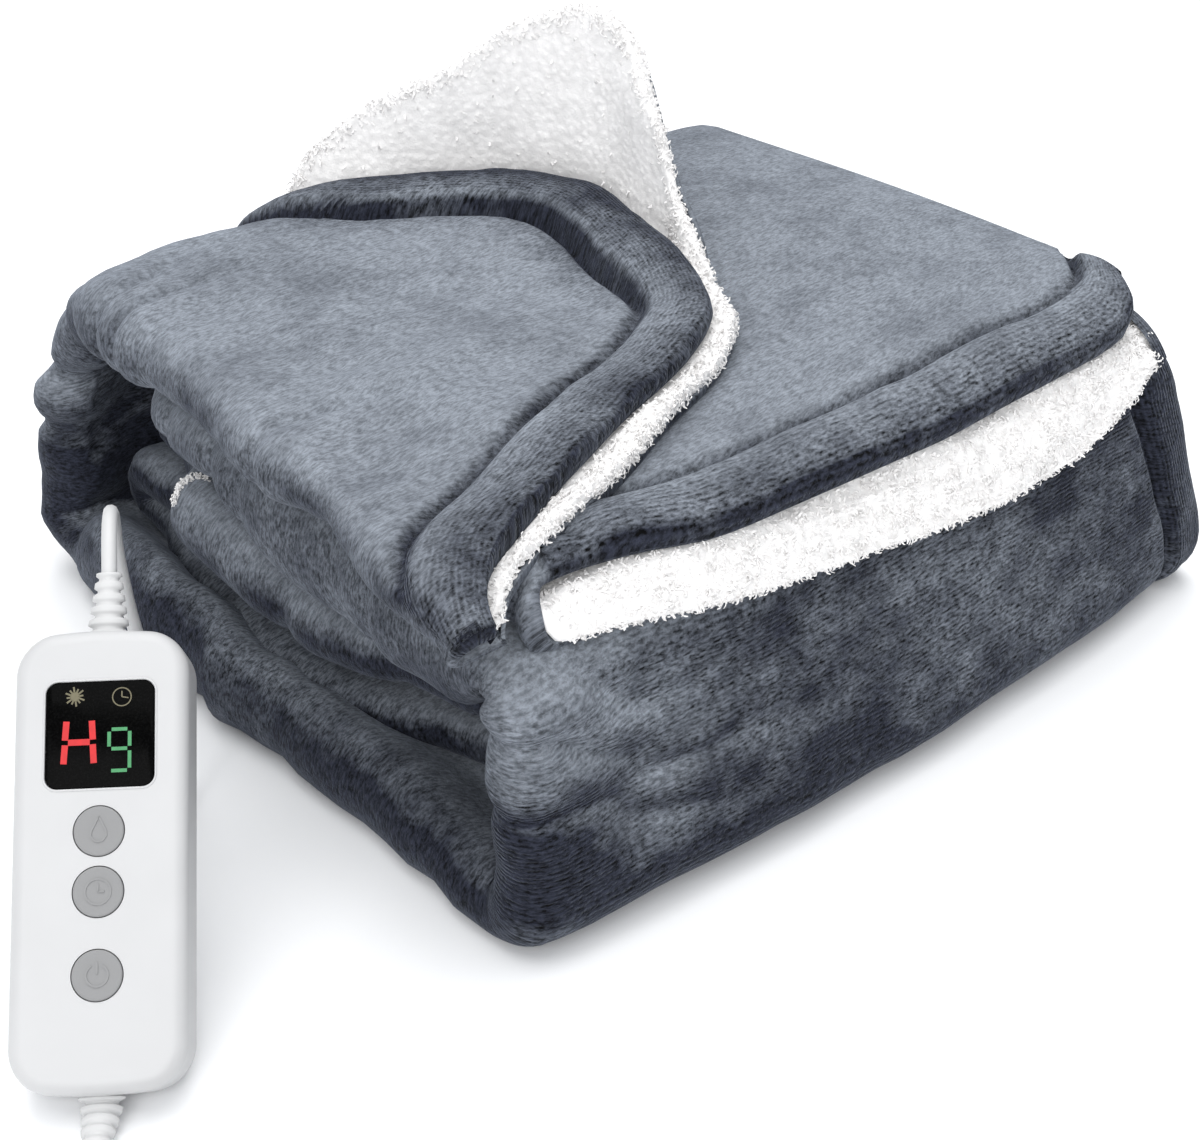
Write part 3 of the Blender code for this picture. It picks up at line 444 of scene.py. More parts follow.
START_RUN = 0.030
FOLD_WANDER = 0.0028         # uneven places of the closed fold, and the length of one
WANDER_LENGTH = 0.024
NOSE_STEPS = 14
REACH_STEPS = 11


def edge_angles():
    return [math.pi * k / EDGE_STEPS for k in range(EDGE_STEPS + 1)]


def rows_of(cloth):
    """Stations along the path: distance, share of the brow, angle round an end and run inside it."""
    index = 0 if cloth == "plush" else 1
    rows = [(TOP_START, 0.0, -angle, 0.0) for angle in reversed(edge_angles()[1:])]
    rows.insert(0, (TOP_START, 0.0, -math.pi, TUCK))
    rows.append((TOP_START, 0.0, 0.0, 0.0))
    for name, _, length in PATH:
        steps = max(3, round(length / LEG_STEP[name][index]))
        shares = [k / steps for k in range(1, steps + 1)]
        if name == "flap":
            fine = FLAP_FINE / length
            shares = [share for share in shares if share < 1 - fine]
            shares += [1 - fine * (1 - k / FLAP_ROWS) for k in range(FLAP_ROWS + 1)]
        if name == "tip":
            shares = [share + (1 - share) * TOP_START / length for share in shares]
        for share in shares:
            if name == "brow":
                rows.append((LEG_START[name], share, 0.0, 0.0))
            else:
                rows.append((LEG_START[name] + length * share - 1e-9, 0.0, 0.0, 0.0))
    rows += [(LEG_START["brow"], 1.0, angle, 0.0) for angle in edge_angles()[1:]]
    rows.append((LEG_START["brow"], 1.0, math.pi, TUCK))
    return [np.array(values) for values in zip(*rows)]


def columns_of(cloth, fold, nose, hem, past, slope):
    """Places across the strip: side, X, angle on the nose and angle round the hem."""
    start = fold + nose
    reach = ROLL_REACH - nose
    plush = cloth == "plush"
    squeeze = np.minimum(1.0, HEM_SHARE * (hem - start) / (BAND_PLACES[-1] * slope + reach))
    low_reach = np.maximum(past, END_REACH)
    end = hem + past - (PLUSH_BACK * ease(0.018, 0.045, past) if plush else 0.0)
    low_squeeze = np.minimum(1.0, HEM_SHARE * (end - start) / (low_reach + reach))
    middle, low_middle = (42, 26) if plush else (14, 110)
    band = BAND_PLACES if plush else BAND_PLACES[::3]
    reach_count, nose_count, low_count = (REACH_STEPS, NOSE_STEPS, REACH_STEPS) if plush else (4, 6, 10)

    def hem_turn(side, edge, scale):
        radius = edge_radius(cloth, side)
        turned = [(side, edge - radius * scale * (1 - math.sin(a)), None, a) for a in edge_angles()[1:]]
        turned.append((side, edge - (radius + TUCK) * scale, None, math.pi))
        return turned

    def run(side, first, last, count):
        """Columns from just after the first place to the last."""
        return [(side, first + (last - first) * k / count, None, 0.0) for k in range(1, count + 1)]

    upper = [(1, hem - d * slope * squeeze, None, 0.0) for d in band]
    inset = start + reach * squeeze
    low_inset = start + reach * low_squeeze
    foot = end - low_reach * low_squeeze
    last = end - edge_radius(cloth, -1) * low_squeeze
    places = list(reversed(hem_turn(1, hem - (0.0 if plush else SHERPA_BACK), slope * squeeze)))
    places += upper + run(1, upper[-1][1], inset, middle) + run(1, inset, start, reach_count)[:-1]
    places += [(0, start, math.pi * (0.5 - k / nose_count), 0.0) for k in range(nose_count + 1)]
    places += run(-1, start, low_inset, low_count) + run(-1, low_inset, foot, low_middle)
    return places + run(-1, foot, last, END_PLACES) + hem_turn(-1, end, low_squeeze)


def edge_radius(cloth, share):
    """Radius of a hem's edge, for the sheet whose plush turns right over it (share 1) or not."""
    if cloth == "sherpa":
        return SHERPA / 2 * 0.9
    return THIN_EDGE + (THICK_EDGE - THIN_EDGE) * max(share, 0.0)


def band_profile(distance, propped):
    """Swell of the turned hem and the groove of its seam, at a distance in from the edge."""
    width = HEM_BAND + CORNER_BAND * propped
    share = np.clip(distance / width, 0.0, 1.0)
    swell = (HEM_ROLL + CORNER_ROLL * propped) * np.sqrt(np.maximum(np.sin(math.pi * share), 0.0))
    groove = SEAM_DEPTH * (1 + 0.3 * propped)
    return swell - groove * np.exp(-((distance - width) / SEAM_WIDTH) ** 2)


def exposed(s, side):
    """1 where the outside of the strip can be seen, falling to 0 inside the stack."""
    wall = 1 - ease(LEG_START["roll"] - 0.004, LEG_START["roll"] + 0.030, s)
    floor = ease(LEG_START["floor"] - 0.02, LEG_START["floor"], s)
    floor = floor * (1 - ease(LEG_START["toe"] + 0.004, LEG_START["toe"] + 0.020, s))
    front_flap = ease(travel("flap", 0.70), travel("flap", 1.0), s)
    return np.where(side >= 0, wall * (1 - floor), 0.0) + np.where(side <= 0, front_flap, 0.0)


SOFT_RIPPLE = 0.0016         # heights of the plush's ripples, from broad to fine
SMALL_RIPPLE = 0.0007
PILE_RIPPLE = 0.00018
CURL_HEIGHT = 0.0030         # of the sherpa's curls, which are CURL_SIZE across
CURL_SIZE = 0.0065
WOOL_HEIGHT = 0.0008
WOOL_SIZE = 0.0028
SHERPA_DENT = 0.0030
SMOOTHED = 0.88              # share of the curls that is flat where the corner stands


def creases(x, s, seed):
    """Soft folds that run in from the closed fold and fade out across the strip."""
    wander = 0.030 * noise(x / 0.060, s / 0.050, seed)
    sharp = 1 - np.abs(noise(x / 0.085, (s + wander) / 0.027, seed + 1))
    return (0.55 - sharp ** 3) * (1 - ease(0.015, 0.130, x))


def plush_relief(x, s, side, share, from_hem, from_end):
    """Outward offset of the plush: hem bands, seam grooves and the cloth's soft ripples."""
    seen = exposed(s, side)
    propped = propped_at(s)
    band = np.clip(2 * share - 1, 0.0, 1.0) * band_profile(from_hem, propped)
    flap = np.where((side < 0) & (s > LEG_START["flap"]), band_profile(from_end, 0.0), 0.0)
    soft = SOFT_RIPPLE * noise(x / 0.050, s / 0.036, 11) + SMALL_RIPPLE * noise(x / 0.018, s / 0.014, 12)
    fine = PILE_RIPPLE * noise(x / 0.0042, s / 0.0042, 13)
    folds = CREASE * creases(x, s, 14)
    return band + flap + (soft + fine) * seen + folds


def propped_at(s):
    """1 where the top hem lies in front of the turned corner."""
    start, end = top_travel(CORNER_START - 0.022), top_travel(CORNER_END)
    return ease(start, end, s) * (1 - ease(travel("wrap", 0.6), travel("wrap", 0.95), s))


def sherpa_relief(x, s, shows, stand):
    """Outward offset of the sherpa's inner face: its curls, smoother where the corner stands."""
    smooth = 1 - SMOOTHED * ease(0.2, 0.9, stand)
    curls = CURL_HEIGHT * (lumps(x, s, CURL_SIZE, 31) - 0.45)
    curls = curls + WOOL_HEIGHT * noise(x / WOOL_SIZE, s / WOOL_SIZE, 33)
    dents = SHERPA_DENT * noise(x / 0.034, s / 0.026, 34)
    return shows * (curls * smooth + dents)


def skin(cloth):
    """Grid of points of a cloth's visible face, with the cloth's own coordinates and zones."""
    nominal, part, row_angle, row_run = rows_of(cloth)
    fold, outer, inner, hem, past, slope = fold_at(nominal)
    fold = fold + FOLD_WANDER * noise(nominal / WANDER_LENGTH, 0 * nominal, 41)
    half = (outer + inner) / 2
    nose = np.minimum(half, NOSE)
    y_row = path_at(nominal)[0]
    on_top = nominal < LEG_START["back"]
    stand = np.where(on_top, standing(y_row), 0.0)
    brow = LEG_START["brow"]
    on_brow = nominal >= brow
    at_start = (row_angle < 0) | (nominal <= TOP_START)
    flap_x, flap_upper, flap_lower = zip(*FLAP_ENDS)
    base = 0.0 if cloth == "plush" else PLUSH + PLY_GAP + SHERPA
    inward = 1.0 if cloth == "plush" else -1.0
    grid, across_x, along_s, zones, depths = [], [], [], [], []
    for side, x, angle, hem_angle in columns_of(cloth, fold, nose, hem, past, slope):
        share = 0.5 + 0.5 * (math.sin(angle) if side == 0 else side)
        brow_radius = edge_radius(cloth, 1 - share)
        start_radius = edge_radius(cloth, share)
        hem_radius = edge_radius(cloth, side)
        upper = curve(flap_x, flap_upper, x)
        end = upper + (curve(flap_x, flap_lower, x) - upper) * share
        if cloth == "sherpa":
            end = end - SHERPA_BACK * (1 - share)
        s = np.where(on_brow, brow + part * (end - brow_radius), nominal)
        s = s + np.where(on_brow & (row_angle > 0), brow_radius * np.sin(np.abs(row_angle)) - row_run, 0.0)
        if cloth == "sherpa":
            s = s + START_BACK * (1 - np.clip((nominal - TOP_START) / START_RUN, 0.0, 1.0))
        s = s + np.where(at_start, start_radius * (1 - np.sin(np.abs(row_angle))) + row_run, 0.0)
        row_turn = np.where(at_start, start_radius, brow_radius) * (1 - np.cos(row_angle))
        turn = np.maximum(row_turn, hem_radius * (1 - math.cos(hem_angle)))
        from_hem = np.maximum(hem - x, 0.0) / slope
        if side >= 0 and cloth == "plush":
            round_nose = half * (math.pi / 2 - angle) if side == 0 else 0.0
            from_hem = np.where(on_top, hem_distance(x - round_nose, s), from_hem)
        from_end = np.maximum(brow + end - s, 0.0)
        if cloth == "plush":
            offset = plush_relief(x, s, side + 0 * x, share, from_hem, from_end)
            offset = offset * (1 - ease(0.0, 0.003, turn))
            shows = 0 * x
        else:
            shows = sherpa_shows(x, s, side, hem, upper, on_top, on_brow)
            offset = -sherpa_relief(x, s, shows, stand) * (1 - 0.5 * ease(0.0, 0.003, turn))
        depth = base + inward * turn - offset
        across_strip = x
        u = x
        if side <= 0:
            start = fold + nose
            u = start - half * (math.pi / 2 - angle) if side == 0 else 2 * start - half * math.pi - x
        if side == 0:
            across = (outer - inner) / 2 + (half - depth) * math.sin(angle)
            x = x - (nose - depth) * math.cos(angle)
        else:
            flat = 1 - ease(0.0, ROLL_REACH - nose, x - (fold + nose))
            reach = outer if side > 0 else inner
            across = side * (HALF + (reach - HALF) * flat - depth)
        y, z, ny, nz = path_at(s)
        if side < 0:
            foot = hem - 0.002
            run = np.maximum(x - foot, 0.0)
            bend = CORNER_RADIUS * stand
            tilt = np.minimum(run / CORNER_RADIUS, stand)
            rest = np.maximum(run - bend, 0.0)
            up = CORNER_RADIUS * (1 - np.cos(tilt)) + rest * np.sin(tilt) + across * np.cos(tilt)
            out = CORNER_RADIUS * np.sin(tilt) + rest * np.cos(tilt) - across * np.sin(tilt)
            stands = (run > 0) & (stand > 0)
            x = np.where(stands, foot + out, x)
            across = np.where(stands, up, across)
        x, y, z = settle(x, y + ny * across, z + nz * across)
        grid.append(np.stack((x, y, np.maximum(z, LOWEST)), axis=-1) - ORIGIN)
        across_x.append(u)
        along_s.append(s)
        zones.append(shows)
        low = hem + past - across_strip if cloth == "sherpa" else 1.0
        near = np.where(side > 0, from_hem, low)
        by_end = (s > LEG_START["flap"]) & ((side < 0) | (cloth == "sherpa"))
        near = np.where(by_end, np.minimum(near, from_end) if cloth == "sherpa" else from_end, near)
        if side == 0:
            near = np.where(on_top & (share > 0.5), from_hem, 1.0) if cloth == "plush" else 1.0 + 0 * x
        depths.append(near)
    return [np.stack(values, axis=1) for values in (grid, across_x, along_s, zones, depths)]


def sherpa_shows(x, s, side, hem, upper, on_top, on_brow):
    """1 where the sherpa can be seen: past the top hem, on the turned corner and in the flap."""
    if side < 0:
        return np.where(on_top, ease(-0.006, 0.002, x - hem), 0.0)
    if side > 0:
        open_part = ease(-0.008, 0.0, s - LEG_START["brow"] - upper) * ease(0.001, 0.006, hem - x)
        return np.where(on_brow, open_part, 0.0)
    return np.where(on_brow, 0.4, 0.0)


def add_grid(name, points, uv, material, flip=False):
    """Smooth mesh of a grid of points, with cloth coordinates in metres as its UV map."""
    rows, across = points.shape[:2]
    index = np.arange(rows * across).reshape(rows, across)
    quads = np.stack((index[:-1, :-1], index[1:, :-1], index[1:, 1:], index[:-1, 1:]), axis=-1)
    quads = quads.reshape(-1, 4)
    if flip:
        quads = quads[:, ::-1]
    data = bpy.data.meshes.new(name)
    data.from_pydata(points.reshape(-1, 3).tolist(), [], quads.tolist())
    layer = data.uv_layers.new(name="cloth")
    flat = np.stack(uv, axis=-1).reshape(-1, 2)[quads.reshape(-1)]
    layer.data.foreach_set("uv", flat.astype(np.float32).ravel())
    data.shade_smooth()
    return add_object(name, data, material)


def grid_normals(points):
    """Unit normal at each point of a grid, out of the strip."""
    along = np.gradient(points, axis=0)
    across = np.gradient(points, axis=1)
    normal = np.cross(along, across)
    return normal / np.maximum(np.linalg.norm(normal, axis=-1, keepdims=True), 1e-12)


def add_value(made, name, values):
    """One number a vertex, read by the cloth's material."""
    layer = made.data.attributes.new(name, "FLOAT", "POINT")
    layer.data.foreach_set("value", values.astype(np.float32).ravel())


# Painted light and shade of the plush, 1 where it is painted lightest and 0 where it is painted darkest:
# lighter on faces turned up, darker on faces turned to the side and down.
LIGHTING_LEAST = 0.04
HEM_PILE_AND_SHADE = 0.60               # darker along the free edges: partly darker pile, partly painted shade
HEM_PILE_AND_SHADE_PROPPED = 0.25       # and more so in front of the turned corner
# darker band in front of the turned corner: partly darker pile, partly painted shade
BAND_PILE_AND_SHADE_PROPPED = 0.34
PAINTED_SHADOW = 0.45            # painted shadow beside the band there
# painted shade in the groove of the seam
SEAM_SHADE = 0.75
LOW_END_SHADE = 0.58           # painted shade low on the closed end, painted light high up on it
HIGH_END_LIGHT = 0.30
WALL_END_LIGHT = 0.30          # painted light on the front wall by the closed end
# where the painted shadow beside the band lies and how wide it is, and how wide the painted shade in the
# seam's groove is
SHADOW_OUT = 0.012
SHADOW_WIDTH = 0.016
SEAM_LINE = 0.0032


def add_plush(material):
    points, u, s, _, near = skin("plush")
    made = add_grid("plush_cloth", points, (u, s), material)
    band = 1 - ease(HEM_BAND * 0.9, HEM_BAND * 1.1, near)
    wall = ease(LEG_START["toe"], travel("front", 0.15), s)
    wall = wall * (1 - ease(LEG_START["lip"], LEG_START["roll"], s))
    add_value(made, "row", np.where(near < HEM_BAND * 1.05, near, s))
    add_value(made, "rib", np.clip(band + 0.8 * wall, 0.0, 1.0))
    # painted light and shade of the plush, read by its material
    add_value(made, "painted_lighting", painted_lighting_of(points, s, near, band, wall))
    dress(made, "plush", "plush_panel")
    return made


def painted_lighting_of(points, s, near, band, wall):
    """Painted light and shade of the plush at each point, from 1 painted light to 0 painted dark."""
    x, height = points[..., 0] + ORIGIN[0], points[..., 2]
    normals = grid_normals(points)
    facing = normals[..., 2]
    propped = propped_at(s)
    edge = 1 - ease(0.002, 0.030, near)
    shadow = propped * np.exp(-((near - HEM_BAND - SHADOW_OUT) / SHADOW_WIDTH) ** 2)
    seam = np.exp(-((near - HEM_BAND - CORNER_BAND * propped) / SEAM_LINE) ** 2) * (near < 0.9)
    by_end = 1 - ease(0.0, 0.05, x)
    low = by_end * (1 - ease(0.050, 0.080, height)) * (0.6 + 0.4 * ease(-0.3, 0.2, -normals[..., 0]))
    upper = by_end * ease(0.060, 0.080, height) * (1 - ease(0.1, 0.6, facing))
    wall_end = wall * (1 - ease(0.02, 0.11, x)) * ease(0.02, 0.05, height)
    # painted light on faces turned up, painted shade on faces turned to the side and down
    painted_lighting = LIGHTING_LEAST + (1 - LIGHTING_LEAST) * ease(0.0, 0.92, facing)
    painted_lighting = painted_lighting - edge * (HEM_PILE_AND_SHADE + HEM_PILE_AND_SHADE_PROPPED * propped) - PAINTED_SHADOW * shadow
    painted_lighting = painted_lighting - LOW_END_SHADE * low + HIGH_END_LIGHT * upper + WALL_END_LIGHT * wall_end
    painted_lighting = painted_lighting - BAND_PILE_AND_SHADE_PROPPED * band * propped - SEAM_SHADE * seam
    return np.clip(painted_lighting, 0.0, 1.0)


# How thick the curls stand on the sherpa: in its open parts, along its edges, and more of them
# on the narrow strip past the top hem and in the flap.
CROWD_OPEN = 0.010
CROWD_EDGE = 0.60
CROWD_STRIP = 0.34
CROWD_FLAP = 0.12
NARROW_STRIP = 0.026


def add_sherpa(material):
    """The sherpa, its grid of points and how much each place of it wants curls."""
    points, u, s, shows, near = skin("sherpa")
    made = add_grid("sherpa_cloth", points, (u, s), material, flip=True)
    dress(made, "sherpa", "sherpa_lining")
    crowding = CROWD_OPEN + CROWD_EDGE * (1 - ease(0.002, 0.010, near))
    narrow = np.where(fold_at(s)[4] < NARROW_STRIP, CROWD_STRIP, 0.0)
    crowding = np.maximum(crowding, narrow + np.where(s > LEG_START["flap"], CROWD_FLAP, 0.0))
    return made, points, shows ** 2 * crowding


# ---------------------------------------------------------------- the sherpa's curls
TUFT_COUNT = 9000
TUFT_SIDES = 3
TUFT_RINGS = 3
TUFT_LENGTH = (0.0013, 0.0030)
TUFT_WIDTH = (0.00045, 0.00095)
TUFT_ROOT = 0.0006           # how deep a lock starts
TUFT_BEND = 1.9              # how far it bends over, in radians
# A bit of sherpa peeps out between two layers at the closed end.  The photograph is PHOTO_SIZE pixels,
# and these are the places in it of both sides of that strip.
PHOTO_SIZE = (1200, 1140)
PEEP_COUNT = 170
PEEP_PIXELS = (
    ((173, 500), (177, 504)),
    ((177, 491), (179, 496)),
    ((181, 484), (183, 489)),
    ((185, 479), (189, 483)),
    ((192, 475), (196, 479)),
    ((200, 475), (204, 479)),
    ((207, 478), (211, 482)),
)


def add_tufts(name, points, wanted, count, material):
    """Short bent locks over a grid of points, most where they are most wanted."""
    rng = np.random.default_rng(7)
    a, b, c, d = points[:-1, :-1], points[1:, :-1], points[1:, 1:], points[:-1, 1:]
    normal = np.cross(c - a, b - d)
    area = np.linalg.norm(normal, axis=-1) / 2
    weight = (area * (wanted[:-1, :-1] + wanted[1:, 1:])).ravel()
    chosen = rng.choice(weight.size, count, p=weight / weight.sum())
    fu, fv = rng.random((2, count, 1))

    def pick(values):
        return values.reshape(-1, 3)[chosen]
    spot = (pick(a) * (1 - fu) + pick(b) * fu) * (1 - fv) + (pick(d) * (1 - fu) + pick(c) * fu) * fv
    up = pick(normal)
    up /= np.maximum(np.linalg.norm(up, axis=1, keepdims=True), 1e-12)
    lean = rng.normal(size=(count, 3))
    lean -= up * np.sum(lean * up, axis=1, keepdims=True)
    lean /= np.linalg.norm(lean, axis=1, keepdims=True)
    curl = np.cross(up, lean)
    length = rng.uniform(*TUFT_LENGTH, (count, 1))
    width = rng.uniform(*TUFT_WIDTH, (count, 1))
    rings = []
    for k in range(TUFT_RINGS + 1):
        t = k / TUFT_RINGS
        bend = TUFT_BEND * t
        centre = (spot - up * TUFT_ROOT + up * length * math.sin(bend) * 0.75
                  + lean * length * (1 - math.cos(bend)) * 0.70)
        size = width * (1 - 0.75 * t ** 2)
        for j in range(TUFT_SIDES):
            turn = 2 * math.pi * j / TUFT_SIDES
            rings.append(centre + curl * size * math.cos(turn) + lean * size * math.sin(turn) * (1 - t)
                         + up * size * math.sin(turn) * t)
    places = np.stack(rings, axis=1).reshape(-1, 3)
    faces = []
    for k in range(TUFT_RINGS):
        for j in range(TUFT_SIDES):
            nxt = (j + 1) % TUFT_SIDES
            low, high = k * TUFT_SIDES, (k + 1) * TUFT_SIDES
            faces.append((low + j, low + nxt, high + nxt, high + j))
    quads = (np.arange(count)[:, None, None] * len(rings) + np.array(faces)[None]).reshape(-1, 4)
    data = bpy.data.meshes.new(name)
    data.from_pydata(places.tolist(), [], quads.tolist())
    made = add_object(name, data, material)
    dress(made, "sherpa")
    return made


def place_in_photo(tree, column, row):
    """Where the photograph's camera sees the surface of the tree at a pixel."""
    forward, right, up = camera_axes()
    pixels = LENS / SENSOR * PHOTO_SIZE[0]
    aim = forward * pixels + right * (column - PHOTO_SIZE[0] / 2) - up * (row - PHOTO_SIZE[1] / 2)
    return tuple(tree.ray_cast(Vector(CAMERA_SPOT), aim.normalized())[0])


def add_peep(cloth, material):
    """Curls of the lining where its edge peeps out at the closed end, on the plush there."""
    corners = [vertex.co for vertex in cloth.data.vertices]
    tree = BVHTree.FromPolygons(corners, [tuple(face.vertices) for face in cloth.data.polygons])
    grid = np.array([[place_in_photo(tree, *pixel) for pixel in pair] for pair in PEEP_PIXELS])
    return add_tufts("sherpa_peep", grid, np.ones(grid.shape[:2]), PEEP_COUNT, material)


# ---------------------------------------------------------------- objects and plain shapes
def add_object(name, data, material):
    made = bpy.data.objects.new(name, data)
    data.materials.append(material)
    bpy.context.scene.collection.objects.link(made)
    return made


def dress(made, slot, *nodes, body="blanket"):
    """Put a piece on its body, in the place of its CAD nodes; slot is not used."""
    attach(made, body)
    if nodes:
        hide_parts(*nodes)


def add_mesh(name, mesh, material, sharp=None):
    """Object of a bmesh, shaded smooth but for edges turning more than sharp degrees."""
    bmesh.ops.recalc_face_normals(mesh, faces=mesh.faces[:])
    data = bpy.data.meshes.new(name)
    mesh.to_mesh(data)
    mesh.free()
    data.shade_smooth()
    if sharp:
        data.set_sharp_from_angle(angle=math.radians(sharp))
    return add_object(name, data, material)


def add_loft(name, rings, material, place=None, sharp=None):
    """Closed body through rings of as many points each."""
    mesh = bmesh.new()
    made = [[mesh.verts.new(place @ Vector(point) if place else point) for point in ring] for ring in rings]
    for near, far in zip(made, made[1:]):
        for j, _ in enumerate(near):
            following = (j + 1) % len(near)
            mesh.faces.new((near[j], near[following], far[following], far[j]))
    mesh.faces.new(made[0])
    mesh.faces.new(made[-1])
    return add_mesh(name, mesh, material, sharp)


def circle(radius, height, sides):
    return [(radius * math.cos(2 * math.pi * j / sides), radius * math.sin(2 * math.pi * j / sides), height)
            for j in range(sides)]


END_FACETS = 12              # of each bowed end


def outline_ring(width, length, corner, dome=0.0, steps=12):
    """Points round a rounded rectangle whose short ends bow out by dome."""
    ring = []
    for quarter in range(4):
        side_x = (1, 1, -1, -1)[quarter]
        side_y = (-1, 1, 1, -1)[quarter]
        middle_x = side_x * (width / 2 - corner)
        middle_y = side_y * (length / 2 - corner)
        for step in range(steps + 1):
            turn = (quarter - 1 + step / steps) * math.pi / 2
            ring.append((middle_x + corner * math.cos(turn), middle_y + corner * math.sin(turn)))
        if side_x * side_y > 0:
            ring += [(middle_x * (1 - 2 * k / END_FACETS), side_y * length / 2)
                     for k in range(1, END_FACETS)]
    return [(x, y + math.copysign(dome * (1 - (2 * x / width) ** 2), y)) for x, y in ring]


def rounded_rings(width, length, corner, dome, thick, rounding, steps=8):
    """Rings up a rounded plate, over its rounded upper and lower edges."""
    rings = []
    for low in (True, False):
        for k in range(steps + 1):
            turn = math.pi / 2 * (k / steps)
            if low:
                inset, z = rounding * (1 - math.sin(turn)), rounding * (1 - math.cos(turn))
            else:
                inset, z = rounding * (1 - math.cos(turn)), thick - rounding * (1 - math.sin(turn))
            ring = outline_ring(width - 2 * inset, length - 2 * inset, corner - inset, dome)
            rings.append([(x, y, z) for x, y in ring])
    return rings


# ---------------------------------------------------------------- the hand controller
CONTROLLER_FOOT = (-0.3445, -0.1312, -0.00222)
HEADING = math.radians(52.3)
LEAN = math.radians(44.0)
CASE_LENGTH = 0.154
CASE_WIDTH = 0.058
CASE_THICK = 0.026
CASE_CORNER = 0.013
CASE_DOME = 0.0025
CASE_ROUNDING = 0.0050
FIT = 0.0003
DISPLAY_AT = 0.1175
DISPLAY_SIDE = 0.036
DISPLAY_CORNER = 0.004
DISPLAY_THICK = 0.0020
DISPLAY_SUNK = 0.0002
BUTTONS = (
    ("button_heat", "heat_key", 0.085), ("button_timer", "timer_key", 0.065),
    ("button_power", "power_key", 0.038),
)
BUTTON_RADIUS = 0.0083
BUTTON_POCKET = 0.0034
BUTTON_PROUD = 0.0005
BUTTON_THICK = 0.0026
BUTTON_EDGE = 0.0006         # rounding of a key's rim
BUTTON_DISH = 0.00022        # depth of the hollow in its face
BUTTON_DISH_RADIUS = 0.0070
ICON_RAISE = 0.00028


def heading_vectors():
    """Level unit vectors ahead of the controller's foot and to the left of that."""
    ahead = Vector((math.cos(HEADING), math.sin(HEADING), 0.0))
    return ahead, Vector((-ahead.y, ahead.x, 0.0))


def controller_place(along, lift):
    """Placement on the controller, with X across its face, Y up its length and Z out of its face."""
    ahead, _ = heading_vectors()
    up = ahead * math.cos(LEAN) + Vector((0, 0, math.sin(LEAN)))
    face = -ahead * math.sin(LEAN) + Vector((0, 0, math.cos(LEAN)))
    spot = Vector(CONTROLLER_FOOT) + up * along + face * lift
    return Matrix.Translation(spot) @ Matrix((up.cross(face), up, face)).transposed().to_4x4()


def cut_away(body, cutter):
    cut = body.modifiers.new(cutter.name, "BOOLEAN")
    cut.operation = "DIFFERENCE"
    cut.solver = "EXACT"
    cut.object = cutter


def add_controller_case(material):
    """Moulded shell with its display pocket and the holes of its keys."""
    rings = rounded_rings(CASE_WIDTH, CASE_LENGTH - 2 * CASE_DOME, CASE_CORNER, CASE_DOME, CASE_THICK,
                          CASE_ROUNDING)
    case = add_loft("case_shell", rings, material, controller_place(CASE_LENGTH / 2, 0.0))
    side = DISPLAY_SIDE + 2 * FIT
    lift = CASE_THICK - DISPLAY_SUNK - DISPLAY_THICK - FIT
    pocket = [[(x, y, z) for x, y in outline_ring(side, side, DISPLAY_CORNER + FIT)]
              for z in (0.0, 2 * DISPLAY_THICK)]
    cutters = [add_loft("display_pocket", pocket, material, controller_place(DISPLAY_AT, lift))]
    for name, _, along in BUTTONS:
        hole = [circle(BUTTON_RADIUS + FIT, z, 72) for z in (-BUTTON_POCKET, BUTTON_POCKET)]
        cutters.append(add_loft(name + "_hole", hole, material, controller_place(along, CASE_THICK)))
    for cutter in cutters:
        cut_away(case, cutter)
    bpy.context.view_layer.update()
    cut_mesh = bpy.data.meshes.new_from_object(case.evaluated_get(bpy.context.evaluated_depsgraph_get()))
    bpy.data.objects.remove(case)
    for cutter in cutters:
        bpy.data.objects.remove(cutter)
    cut_mesh.set_sharp_from_angle(angle=math.radians(32))
    shell = bpy.data.objects.new("case_shell", cut_mesh)
    bpy.context.scene.collection.objects.link(shell)
    even = shell.modifiers.new("even_normals", "WEIGHTED_NORMAL")
    even.keep_sharp = True
    dress(shell, "case_white", "controller_case")


def add_display(glass, rim):
    """Glossy dark window in a thin moulded rim."""
    place = controller_place(DISPLAY_AT, CASE_THICK - DISPLAY_SUNK - DISPLAY_THICK)
    rings = rounded_rings(DISPLAY_SIDE, DISPLAY_SIDE, DISPLAY_CORNER, 0.0, DISPLAY_THICK, 0.0003, 3)
    window = add_loft("display_glass", rings, glass, place, sharp=60)
    dress(window, "display_black", "display_window")
    centre = outline_ring(DISPLAY_SIDE + 0.0012, DISPLAY_SIDE + 0.0012, DISPLAY_CORNER + 0.0006)
    add_rim("display_rim", centre, 0.00045, controller_place(DISPLAY_AT, CASE_THICK - 0.0001), rim)


def add_rim(name, centre, radius, place, material):
    """Thin round bead along a closed outline."""
    data = bpy.data.curves.new(name, "CURVE")
    data.dimensions = "3D"
    data.bevel_depth = radius
    data.bevel_resolution = 2
    spline = data.splines.new("POLY")
    spline.points.add(len(centre) - 1)
    for spot, (x, y) in zip(spline.points, centre):
        spot.co = (*(place @ Vector((x, y, 0.0))), 1.0)
    spline.use_cyclic_u = True
    dress(add_object(name, data, material), "case_white")


